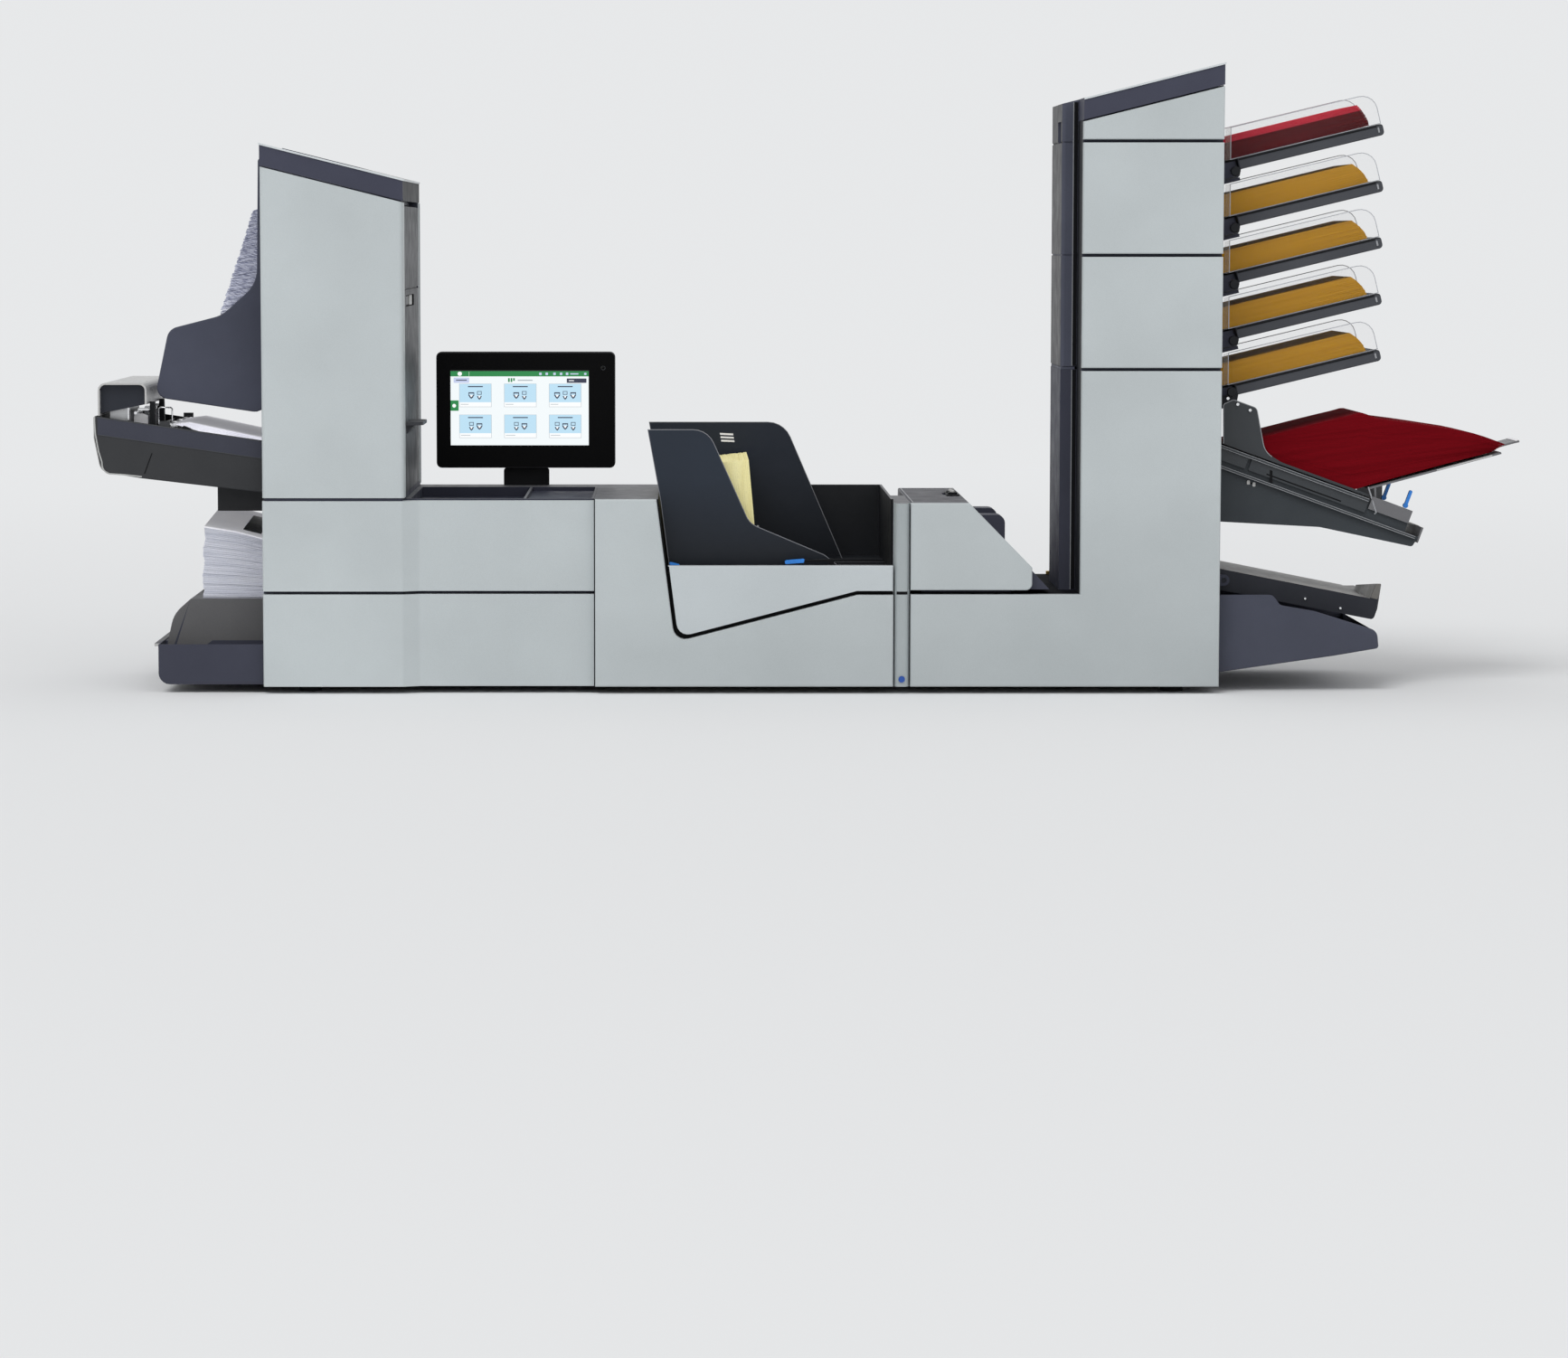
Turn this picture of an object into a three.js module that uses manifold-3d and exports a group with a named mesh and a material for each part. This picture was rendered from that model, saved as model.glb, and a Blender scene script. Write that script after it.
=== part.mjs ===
// A folder inserter: a desk machine that gathers sheets from a tower of feed trays, folds them and
// puts them into envelopes. Millimetres, +Z up, the operator stands on the -Y side.
import * as THREE from 'three';
import { mergeVertices } from 'three/addons/utils/BufferGeometryUtils.js';
import Module from 'manifold-3d';

const wasm = await Module();
wasm.setup();

// Overall layout
const bodyDepth = 460; // front panel faces to rear cover faces
const footHeight = 11;
const leftTowerWidth = 226;
const deckWidth = 300; // low module between the left tower and the envelope module
const moduleGap = 2;
const centreWidth = 474;
const columnWidth = 27.4;
const rightWidth = 491;
const rightTowerWidth = 221.5;
const seamHeight = 160.5; // middle of the seam that runs along the whole front
const deckHeight = 309; // top of the low modules
const seam = 5; // open seam between two panels
const seat = 0.3; // clearance between pieces that touch
const overrun = 20; // how far a cutting solid runs past the piece it cuts

// Panels and frames
const panelDepth = 18; // front face of a panel to the frame behind it
const coverDepth = 40; // how far a tower cover wraps round the tower's sides
const panelWall = 3;
const panelEdge = 4; // radius of a panel's upright edges
const panelBevel = 1.5; // rounding of a flat panel's outline
const frameWall = 3;
const floorRim = 60; // floor plate of a frame in from its walls
const arcSteps = 5;

// Left tower
const leftTowerLow = 778; // top of the cover at its low, inner side
const towerSlope = THREE.MathUtils.degToRad(14);
const capBand = 34; // height of the dark band over a tower cover
const capPlate = 3;
const capReveal = 2.5; // dark line between cover and band
const leftCapOpening = 150; // open length of the left cap over the sheet bin
const capLip = 1.5; // the cap's plate stands proud of its band by this
const capRail = 16; // width of the cap's rails beside that opening
const leftTowerRound = 8;
const doorThickness = 14;
const doorEndGap = 4; // door to the covers in front of it and behind it
const doorFoot = 9; // door's lower edge above the deck
const doorHead = 6;
const doorSlotHeight = 622;
const doorSlot = { tall: 18, long: 220, deep: 6, start: 24 };
const doorPaddle = { height: 424, thick: 5, start: 18, long: 150, reach: 26, drop: 15 };

// Low deck between the left tower and the centre
const panelStep = 14; // the deck's front stands back from the tower's front by this
const panelStepStart = 4; // step starts this far before the tower's side
const panelStepRun = 27;
const deckPocketFront = 40;
const deckRim = 79; // rear rim of the deck, which carries the screen
const deckPocketSide = 8;
const deckSplitShare = 0.625; // share of the deck's width that the deep recess takes
const deckRecess = 16;
const deckShelf = 6;
const deckBridge = 4; // rib between the recess and the shelf

// Touch screen
const screenWidth = 299;
const screenHeight = 194;
const screenThick = 20;
const screenRound = 9;
const screenSetBack = 34; // behind the deck's recess
const screenAlong = 179; // from the left tower's side to the middle of the screen
const screenNeck = { wide: 76, thick: 14, footRound: 5, setback: 30 };
const screenLift = 30; // screen's lower edge above the deck
const hingeAbove = 13; // tilt axis above the screen's lower edge
const tiltPin = { radius: 4, cheek: 9, barrel: 7 };
const displayWidth = 233;
const displayHeight = 126;
const displayUp = 38; // display's lower edge above the screen's lower edge
const displayAside = 23; // display's left edge from the screen's left edge
const displayGlass = 1.2;

// Envelope module
const seamStartIn = 100; // the slanting seam starts this far from the module's left end
const seamSlant = 0.1285; // run of that seam for each millimetre of fall
const seamLowest = 85;
const seamRise = 0.2606; // rise of the seam's lower run for each millimetre to the right
const seamKinkIn = 57.5; // where the seam turns level, from the module's right end
const seamRound = 22;
const doorTop = 203.7;
const pocketFloor = 190;
const pocketSideWall = 4;
const pocketBackWall = 8;
const binInset = 16; // recess behind the pocket door, in from the door's outline
const binDeep = 60;

// Envelope hopper
const hopperFront = 60; // front guide from the front of the machine
const hopperWide = 308; // between the guides
const hopperTop = 418;
const guideWall = 3;
const hopperLong = 391; // from the guides' upper left corner to the module's right end
const bedRail = { high: 3, wide: 22, count: 4 };
// Outlines of the two guides, as shares of their length and height; a radius is a share of the height.
const frontGuideShares = [
  [0.091, 0],
  [0.053, 0.5],
  [0, 1],
  [0.247, 1, 0.16],
  [0.419, 0.34, 0.14],
  [0.724, 0.12, 0.1],
  [0.813, 0],
];
const rearGuideShares = [
  [0.091, 0],
  [0.053, 0.5],
  [0, 1],
  [0.575, 1, 0.18],
  [0.825, 0],
];
const hopperRun = 15; // travel of each guide
const leftLever = { along: 14, hub: 5, front: 26, wide: 12, reach: 11, rise: 9, thick: 4 };
const rightLever = {
  along: 294,
  hub: 5,
  front: 24,
  wide: 10,
  reach: 75,
  grip: 29,
  rise: 18,
  thick: 6,
  arm: 2.5,
};

// Column between the modules
const columnHeight = 303;
const columnDepth = 230;
const columnRound = 9;
const columnNotch = 5;
const buttonRadius = 5;
const buttonLong = 9;
const buttonProud = 2.5;
const buttonCollar = 3;
const buttonHeight = 23;

// Folding unit
const foldTop = 303;
const foldTopLength = 93;
const foldPanelLength = 193;
const foldPanelHeight = 36; // upright end of the folding unit's front panel
const foldFoot = 165;
const foldReach = 222; // cover's lower edge from the module's left end
const foldRound = 10;
const foldWall = 3;
const lobe = { left: 120, top: 276, reach: 159.5, wide: 50, first: 150, pitch: 192, round: 13 };
const grip = { wide: 24, long: 60, deep: 6, start: 250, inset: 4 };
const foldPlate = 6;
const foldPlateIn = 26;
const rollerRadius = 15;
const rollerGap = 0.6;
const rollerAt = { along: 80, high: 226 };
const journal = { radius: 6, clearance: 0.3, share: 0.8 };

// Right tower
const rightTowerLow = 905; // top of the front panels at their low, left side
const towerSections = [515, 695, 874.5]; // seams between the tower's panels
const sideDoorThick = 26;
const sideDoorFront = 105;
const sideDoorDepth = 195;
const sideDoorEdge = 6;
const sideDoorGroove = 1.5;
const sideSlot = { tall: 34, deep: 5, start: 20, long: 60, down: 28 };

// Feed trays
const trayCount = 5;
const trayPitch = 90;
const trayAngle = THREE.MathUtils.degToRad(13.5);
const trayLowHeight = 480.8; // lowest tray's paper surface where it meets the tower
const trayLength = 272;
const trayStart = 34;
const trayThick = 18;
const trayFront = 112;
const trayWidth = 234;
const trayShell = 2.5;
const trayRibs = 3;
const trayArm = { wide: 34, drop: 30, inset: 24, lap: 6 };
const trayLedge = { long: 34, thick: 5 };
const guideHigh = 51;
const guideInset = 8.5; // guide in from the tray's edge
const guideThick = 2.5;
const guideFoot = 28;
const guideStart = 15; // guide's upright end from the tower
const guideShort = 1; // guide ends before the tray does
const guideArc = 46;
const guideRib = { wide: 8, proud: 1.5 };

// Large sheet feeder on the right
const feederAngle = THREE.MathUtils.degToRad(20);
const feederHeight = 396; // belt height at the tower
const feederLength = 364;
const feederFront = 112;
const feederWidth = 238;
const feederRoot = 268; // underside at the tower
const feederMid = { along: 172.5, high: 258.7 };
const feederTip = { along: 322, high: 227 };
const railDrop = 31;
const railThick = 5;
const railProud = 8;
const girder = { first: 16, gap: 6, split: 62, end: 268, proud: 4, lift: 7.5 };
const belt = { wide: 26, high: 2, count: 4, end: 260 };
const saddle = { start: 271, long: 69, wall: 5, skirt: 21 };
const leverSize = { wide: 8, thick: 5, tall: 26, hub: 4 };
// The two levers' places, as shares of the saddle's length and the feeder's width.
const leverShares = [
  [0.855, 0.0756],
  [0.594, 0.58],
];
const supportAngle = THREE.MathUtils.degToRad(15);
const supportLength = 219;
const supportWall = 3;
const supportTongue = { long: 53, wide: 90, centreShare: 0.72 };
const supportLift = 14.5; // support's lower end over the belt
const supportLeg = 3;
const supportUpright = { wide: 42, thick: 4, along: 34 };
const plateGuide = { start: 16, top: 62, crown: 75, crownEnd: 47, fall: 84, low: 6.5, end: 266, thick: 2.5 };

// Lower delivery unit on the right
const deliveryFront = 40;
const deliveryDepth = 380;
const deliveryHigh = 154.6;
const deliveryReach = 259.4;
const deliveryWall = 4;
// Outline of the delivery unit's housing, as shares of its reach and height; radii are shares of the height.
const deliveryShares = [
  [0, 0.132],
  [0.716, 0.317],
  [1, 0.404, 0.03],
  [0.99, 0.6, 0.1],
  [0.6, 0.82, 0.5],
  [0.39, 0.885, 0.06],
  [0.345, 1, 0.08],
  [0, 1],
];
const deliveryDeckAngle = THREE.MathUtils.degToRad(11);
const deliveryDeckHigh = 195; // deck's top at the tower
const deliveryDeckLong = 258;
const deliveryDeckThick = 34;
const deliveryDeckFront = 90;
const deliveryDeckWide = 280;
const deckEndGap = 6;
// The tab that stops the sheets: it runs back from the deck's front and falls away to its rear end.
const deckStop = { tall: 24, thick: 6, long: 180, fall: 15 };
const deckPin = { radius: 4, long: 8, along: 16, down: 20, ear: 8, eye: 9 };

// Sheet bin, exit unit and stacker on the left
const binFront = 90;
const binWidth = 280;
const binWall = 4;
const binTop = 849;
const binFoot = 442;
const binReach = 178;
const binNeckShare = 0.413; // share of the bin's height where its open chute begins
// Outline of the bin's front, as shares of its reach and height, with radii as shares of the reach.
const binShares = [
  [0, 0, 0.1],
  [1, 0.065, 0.1],
  [0.87, 0.332, 0.12],
  [0.39, 0.386, 0.3],
  [0.073, 0.511, 0.3],
  [0.056, 1, 0.03],
  [0, 1],
];
const exitFront = 60;
const exitDepth = 370;
const exitReach = 273.6;
const exitHigh = 439.5;
const exitSlope = 0.145;
const exitThick = 89;
const exitShell = 3;
const exitSink = 14; // exit unit's bed below its side walls
const exitRootShare = 1.38; // depth at the tower, as a share of the unit's depth
// Outline of the unit's rounded end, as shares of its depth: in from the end, down from the top, radius.
const exitEndShares = [
  [0, 0.4, 0.25],
  [0.12, 1, 0.2],
  [0.85, 1.12, 0.2],
];
const hood = { left: 266, right: 188, top: 492, leg: 458, round: 12, back: 380, webIn: 12 };
const exitRoller = { along: 160, above: 4, shaft: 4, wheel: 8, wheelWide: 26, wheels: 4, cheek: 5 };
const exitArm = { long: 86, low: 282, front: 160, deep: 230 };
const stackerReach = 169;
const stackerFront = 20;
const stackerDepth = 380;
const stackerHigh = 77;
const stackerLow = 13;
const stackerRound = 18;
const stackerWall = 3;
const platformHigh = 143.7;
const platformFront = 96;
// The platform's left side: set in at its foot, its shoulder and its crown; shoulder down from the top.
const platformSide = { foot: 6, shoulder: 17, crown: 44, down: 24, round: 48 };
const footRadius = 18;
const footInset = { x: 70, y: 60 };

const lightGrey = 0xb9c0c4;
const darkGrey = 0x43454f;
const black = 0x14161a;
const clearWhite = 0xdfe2e6;
const steel = 0xb4b7ba;
const blue = 0x2f6fc0;
const rubber = 0x1c1d1f;

// Places along the machine, worked out from the sizes above
const deckEnd = leftTowerWidth + deckWidth;
const centreStart = deckEnd + moduleGap;
const centreEnd = centreStart + centreWidth;
const rightStart = centreEnd + columnWidth;
const rightEnd = rightStart + rightWidth;
const rightTowerStart = rightEnd - rightTowerWidth;
const bodyFront = panelDepth + seat; // frames begin here, behind the panels
const deckPocketBack = bodyDepth - deckRim;
const tan = Math.tan;

const material = (color, roughness, metalness = 0) =>
  new THREE.MeshStandardMaterial({ color, roughness, metalness });
const clearPlastic = () => {
  const m = material(clearWhite, 0.2);
  m.transparent = true;
  m.opacity = 0.45;
  return m;
};

function solidOf(geometry) {
  const bare = geometry.clone();
  for (const name of Object.keys(bare.attributes)) if (name !== 'position') bare.deleteAttribute(name);
  const merged = mergeVertices(bare, 1e-4);
  return new wasm.Manifold(
    new wasm.Mesh({
      numProp: 3,
      vertProperties: merged.attributes.position.array,
      triVerts: new Uint32Array(merged.index.array),
    }),
  );
}

function geometryOf(solid) {
  const mesh = solid.getMesh();
  const geometry = new THREE.BufferGeometry();
  geometry.setAttribute('position', new THREE.BufferAttribute(mesh.vertProperties, 3));
  geometry.setIndex(new THREE.BufferAttribute(mesh.triVerts, 1));
  return geometry;
}

const cut = (from, ...tools) =>
  geometryOf(tools.reduce((solid, tool) => solid.subtract(solidOf(tool)), solidOf(from)));
const join = (...pieces) =>
  geometryOf(pieces.map(solidOf).reduce((solid, piece) => solid.add(piece)));

// A box from its lowest to its highest corner.
function block(x0, y0, z0, x1, y1, z1) {
  const geometry = new THREE.BoxGeometry(x1 - x0, y1 - y0, z1 - z0);
  return geometry.translate((x0 + x1) / 2, (y0 + y1) / 2, (z0 + z1) / 2);
}

// A closed outline whose corners [x, y, radius] are rounded by true arcs.
function rounded(corners) {
  const shape = new THREE.Shape();
  const at = corners.map(([x, y]) => new THREE.Vector2(x, y));
  corners.forEach(([, , radius = 0], i) => {
    const here = at[i];
    const before = at[(i + at.length - 1) % at.length].clone().sub(here);
    const after = at[(i + 1) % at.length].clone().sub(here);
    const start = i ? 'lineTo' : 'moveTo';
    if (!radius) {
      shape[start](here.x, here.y);
      return;
    }
    const half = before.angleTo(after) / 2;
    const reach = Math.min(radius / tan(half), before.length() / 2, after.length() / 2);
    const r = reach * tan(half);
    const from = here.clone().addScaledVector(before.normalize(), reach);
    const to = here.clone().addScaledVector(after.normalize(), reach);
    const middle = before.add(after).normalize();
    const centre = here.clone().addScaledVector(middle, r / Math.sin(half));
    const a0 = Math.atan2(from.y - centre.y, from.x - centre.x);
    const a1 = Math.atan2(to.y - centre.y, to.x - centre.x);
    let sweep = a1 - a0;
    if (sweep > Math.PI) sweep -= 2 * Math.PI;
    if (sweep < -Math.PI) sweep += 2 * Math.PI;
    shape[start](from.x, from.y);
    for (let k = 1; k <= arcSteps; k++) {
      const a = a0 + (sweep * k) / arcSteps;
      shape.lineTo(centre.x + r * Math.cos(a), centre.y + r * Math.sin(a));
    }
  });
  return shape;
}

// The same outline with edge i (from corner i to the next) moved inward by inset[i].
function insetOutline(corners, inset) {
  const n = corners.length;
  let area = 0;
  corners.forEach(([x, y], i) => {
    const [x1, y1] = corners[(i + 1) % n];
    area += x * y1 - x1 * y;
  });
  const side = Math.sign(area);
  const lines = corners.map(([x, y], i) => {
    const [x1, y1] = corners[(i + 1) % n];
    const along = new THREE.Vector2(x1 - x, y1 - y).normalize();
    const d = Array.isArray(inset) ? inset[i] : inset;
    return { x: x - side * along.y * d, y: y + side * along.x * d, along };
  });
  return corners.map(([, , radius = 0], i) => {
    const a = lines[(i + n - 1) % n];
    const b = lines[i];
    const cross = a.along.x * b.along.y - a.along.y * b.along.x;
    const t = ((b.x - a.x) * b.along.y - (b.y - a.y) * b.along.x) / cross;
    const d = Array.isArray(inset) ? Math.max(inset[i], 0) : inset;
    return [a.x + a.along.x * t, a.y + a.along.y * t, Math.max(radius - d, 0)];
  });
}

const extruded = (shape, depth, bevel = 0) =>
  new THREE.ExtrudeGeometry(shape, {
    depth: depth - 2 * bevel,
    curveSegments: arcSteps,
    bevelEnabled: bevel > 0,
    bevelThickness: bevel,
    bevelSize: bevel,
    bevelOffset: -bevel,
    bevelSegments: 1,
  }).translate(0, 0, bevel);

// An outline drawn in X and Z, run from front to back.
const runY = (corners, front, back, bevel = 0) =>
  extruded(rounded(corners), back - front, bevel).rotateX(Math.PI / 2).translate(0, back, 0);
// An outline drawn in X and Y, run upward.
const runZ = (corners, low, high) => extruded(rounded(corners), high - low).translate(0, 0, low);
// A round bar along Y.
const barY = (x, z, radius, front, back, sides = 20) =>
  new THREE.CylinderGeometry(radius, radius, back - front, sides).translate(x, (front + back) / 2, z);
// A round bar along Z.
const barZ = (x, y, radius, low, high, sides = 24) =>
  new THREE.CylinderGeometry(radius, radius, high - low, sides)
    .rotateX(Math.PI / 2)
    .translate(x, y, (low + high) / 2);
// A round bar along X.
const barX = (y, z, radius, left, right, sides = 20) =>
  new THREE.CylinderGeometry(radius, radius, right - left, sides)
    .rotateZ(Math.PI / 2)
    .translate((left + right) / 2, y, z);

const machine = new THREE.Group();
function add(name, geometry, finish, parent = machine) {
  const mesh = new THREE.Mesh(geometry, finish);
  mesh.name = name;
  parent.add(mesh);
  return mesh;
}

// A flat front panel: a shallow pan, open at the back.
function pan(corners, front, depth, wall = panelWall) {
  const shell = runY(corners, front, front + depth + panelBevel, panelBevel);
  const hollow = runY(insetOutline(corners, wall), front + wall, front + depth + overrun);
  const trim = runY(insetOutline(corners, -overrun), front + depth, front + depth + overrun);
  return cut(shell, hollow, trim);
}

// An upright cover that wraps round a tower's corners; back is its open side.
function wrap(left, right, face, back, round, low, high, wall = panelWall) {
  const outer = [
    [left, back],
    [left, face, round],
    [right, face, round],
    [right, back],
  ];
  const sign = Math.sign(back - face);
  const inner = [
    [left + wall, back + sign * overrun],
    [left + wall, face + sign * wall, Math.max(round - wall, 0)],
    [right - wall, face + sign * wall, Math.max(round - wall, 0)],
    [right - wall, back + sign * overrun],
  ];
  return cut(runZ(outer, low, high), runZ(inner, low - overrun, high + overrun));
}

// Everything above a line that rises by slope from the point (x, z) is cut away.
function above(x, z, slope, reach, front = -overrun, back = bodyDepth + overrun) {
  const far = 2 * reach;
  return runY(
    [
      [x - far, z - far * slope],
      [x + far, z + far * slope],
      [x + far, z + far * slope + far],
      [x - far, z - far * slope + far],
    ],
    front,
    back,
  );
}

const leftSlope = -tan(towerSlope);
const rightSlope = tan(towerSlope);
const leftTowerTop = (x) => leftTowerLow + (x - leftTowerWidth) * leftSlope;
const rightTowerTop = (x) => rightTowerLow + (x - rightTowerStart) * rightSlope;

// Chamber and floor opening that hollow a frame standing on feet, so that its feet have a floor to hold.
function baseHollow(x0, y0, x1, y1, ceiling) {
  const floor = footHeight + frameWall;
  return [
    block(x0 + frameWall, y0 + frameWall, floor, x1 - frameWall, y1 - frameWall, ceiling - frameWall),
    block(x0 + floorRim, y0 + floorRim, -overrun, x1 - floorRim, y1 - floorRim, floor + frameWall),
  ];
}

// Left tower and low deck
const aboveLeft = (lift, inward = 0) =>
  above(leftTowerWidth, leftTowerLow + lift - inward, leftSlope, leftTowerLow);
const coverInside = panelWall + seat;

function leftTowerCore() {
  const outline = [
    [coverInside, coverInside, leftTowerRound - coverInside],
    [leftTowerWidth - coverInside, coverInside, leftTowerRound - coverInside],
    [leftTowerWidth - coverInside, coverDepth + seat],
    [leftTowerWidth, coverDepth + seat],
    [leftTowerWidth, bodyDepth, leftTowerRound],
    [0, bodyDepth, leftTowerRound],
    [0, coverDepth + seat],
    [coverInside, coverDepth + seat],
  ];
  const low = deckHeight - seam / 2 + seat;
  const shell = cut(runZ(outline, low, 2 * leftTowerLow), aboveLeft(capReveal - seat));
  const inside = block(
    coverInside + frameWall, coverInside + frameWall, low - overrun,
    leftTowerWidth - doorThickness - seat - frameWall, bodyDepth - frameWall, 2 * leftTowerLow,
  );
  const chamber = cut(inside, aboveLeft(capReveal - seat, frameWall));
  const doorway = block(
    leftTowerWidth - doorThickness - seat, coverDepth + seat, deckHeight + doorFoot - seat,
    leftTowerWidth + overrun, bodyDepth - coverDepth, 2 * leftTowerLow,
  );
  return { shell, chamber, doorway };
}

function leftFrame() {
  const tower = leftTowerCore();
  const front = panelDepth + panelStep + seat;
  const base = block(0, front, footHeight, deckEnd, bodyDepth, deckHeight);
  const porch = block(0, bodyFront, footHeight, leftTowerWidth - panelStepStart, bodyDepth, deckHeight);
  const split = leftTowerWidth + deckWidth * deckSplitShare;
  const recess = block(
    leftTowerWidth + deckPocketSide, deckPocketFront, deckHeight - deckRecess,
    split, deckPocketBack, deckHeight + overrun,
  );
  const shelf = block(
    split + deckBridge, deckPocketFront, deckHeight - deckShelf,
    deckEnd - deckBridge, deckPocketBack, deckHeight + overrun,
  );
  const hollow = baseHollow(0, front, deckEnd, bodyDepth, deckHeight - deckRecess);
  return cut(join(base, porch, tower.shell), tower.chamber, tower.doorway, recess, shelf, ...hollow);
}

function leftTowerCover() {
  const low = deckHeight + seam / 2;
  const shell = wrap(0, leftTowerWidth, 0, coverDepth, leftTowerRound, low, 2 * leftTowerLow);
  return cut(shell, aboveLeft(0));
}

// A sloping cap over a tower: a dark band round the sides under a thin plate, flush at the left or proud.
function towerCap(left, right, line, leftLip, ...mouths) {
  const at = (x, lift) => [x, line(x) + lift];
  const full = capBand + capPlate;
  const bandOutline = [at(left, capReveal), at(right, capReveal), at(right, full), at(left, full)];
  const body = runY(bandOutline, 0, bodyDepth);
  const inside = [
    at(left + panelWall, capReveal - overrun),
    at(right - panelWall, capReveal - overrun),
    at(right - panelWall, capBand),
    at(left + panelWall, capBand),
  ];
  const lipOutline = [
    at(left - leftLip, capBand),
    at(right + capLip, capBand),
    at(right + capLip, full),
    at(left - leftLip, full),
  ];
  const lip = runY(lipOutline, -capLip, bodyDepth);
  return cut(join(body, lip), runY(inside, panelWall, bodyDepth - panelWall), ...mouths);
}

function leftTowerCap() {
  const mouth = block(
    -overrun, capRail, leftTowerLow,
    leftCapOpening, bodyDepth - capRail, 2 * leftTowerLow,
  );
  return towerCap(0, leftTowerWidth, leftTowerTop, capLip, mouth);
}

function leftTowerDoor() {
  const left = leftTowerWidth - doorThickness;
  const front = coverDepth + doorEndGap;
  const back = bodyDepth - coverDepth - doorEndGap;
  const foot = deckHeight + doorFoot;
  const slab = block(left, front, foot, leftTowerWidth, back, 2 * leftTowerLow);
  const slot = block(
    leftTowerWidth - doorSlot.deep, front + doorSlot.start, doorSlotHeight - doorSlot.tall / 2,
    leftTowerWidth + overrun, front + doorSlot.start + doorSlot.long, doorSlotHeight + doorSlot.tall / 2,
  );
  const groove = block(
    leftTowerWidth - seam / 2, front - overrun, doorSlotHeight + doorSlot.tall,
    leftTowerWidth + overrun, back + overrun, doorSlotHeight + doorSlot.tall + seam / 2,
  );
  const start = front + doorPaddle.start;
  const paddle = runZ(
    [
      [leftTowerWidth - doorPaddle.thick, start],
      [leftTowerWidth + doorPaddle.reach, start + doorPaddle.drop, doorPaddle.drop],
      [leftTowerWidth + doorPaddle.reach, start + doorPaddle.long - doorPaddle.drop, doorPaddle.drop],
      [leftTowerWidth - doorPaddle.thick, start + doorPaddle.long],
    ],
    doorPaddle.height,
    doorPaddle.height + doorPaddle.thick,
  );
  const ramp = runY(
    [
      [leftTowerWidth - seat, doorPaddle.height - doorPaddle.drop],
      [leftTowerWidth + doorPaddle.reach / 2, doorPaddle.height + doorPaddle.thick / 2],
      [leftTowerWidth - seat, doorPaddle.height + doorPaddle.thick / 2],
    ],
    start + doorPaddle.drop,
    start + doorPaddle.long - doorPaddle.drop,
  );
  return join(cut(slab, aboveLeft(-doorHead), slot, groove), paddle, ramp);
}

// One panel across the tower's foot and the deck, with its step back in one soft bend.
function steppedPanel(low, high) {
  const end = leftTowerWidth - panelStepStart;
  const deckFace = panelStep;
  const outline = [
    [0, panelDepth],
    [0, 0, panelEdge],
    [end, 0, panelEdge * 2],
    [end + panelStepRun, deckFace, panelStepRun / 2],
    [deckEnd, deckFace],
    [deckEnd, panelDepth + panelStep],
    [end + seat, panelDepth + panelStep],
    [end + seat, panelDepth],
  ];
  const w = panelWall;
  const inner = insetOutline(outline, [w, w, w, w, w, -overrun, 0, -overrun]);
  return cut(runZ(outline, low, high), runZ(inner, low + w, high - w));
}

// Touch screen: a housing whose two ears turn on the neck's barrel
const screenMiddle = leftTowerWidth + screenAlong;
const screenLeft = screenMiddle - screenWidth / 2;
const screenFoot = deckHeight + screenLift;
const screenFront = deckPocketBack + screenSetBack;
const screenBack = screenFront + screenThick;
const neckAxisY = screenFront + screenNeck.setback;
const tiltAxisZ = screenFoot + hingeAbove;
const neckHalf = screenNeck.wide / 2 - tiltPin.cheek - seat;

function screenHousing() {
  const outline = [
    [screenLeft, screenFoot, screenRound],
    [screenLeft + screenWidth, screenFoot, screenRound],
    [screenLeft + screenWidth, screenFoot + screenHeight, screenRound],
    [screenLeft, screenFoot + screenHeight, screenRound],
  ];
  const body = runY(outline, screenFront, screenBack, panelBevel);
  const glassSeat = runY(displayOutline(0), screenFront - overrun, screenFront + displayGlass);
  const ears = [-1, 1].map((side) => {
    const near = side * (neckHalf + seat);
    const far = side * (screenNeck.wide / 2);
    const low = tiltAxisZ - tiltPin.barrel;
    const arm = block(
      screenMiddle + Math.min(near, far), screenBack - seat, low,
      screenMiddle + Math.max(near, far), neckAxisY, tiltAxisZ + tiltPin.barrel,
    );
    const pin = side * (neckHalf - tiltPin.cheek);
    return join(
      arm,
      barX(neckAxisY, tiltAxisZ, tiltPin.barrel, screenMiddle + Math.min(near, far),
        screenMiddle + Math.max(near, far)),
      barX(neckAxisY, tiltAxisZ, tiltPin.radius - seat, screenMiddle + Math.min(pin, far),
        screenMiddle + Math.max(pin, far)),
    );
  });
  return join(cut(body, glassSeat), ...ears);
}

function displayOutline(clearance) {
  const left = screenLeft + displayAside;
  const low = screenFoot + displayUp;
  const outline = [
    [left, low, panelBevel],
    [left + displayWidth, low, panelBevel],
    [left + displayWidth, low + displayHeight, panelBevel],
    [left, low + displayHeight, panelBevel],
  ];
  return insetOutline(outline, clearance);
}

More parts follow.
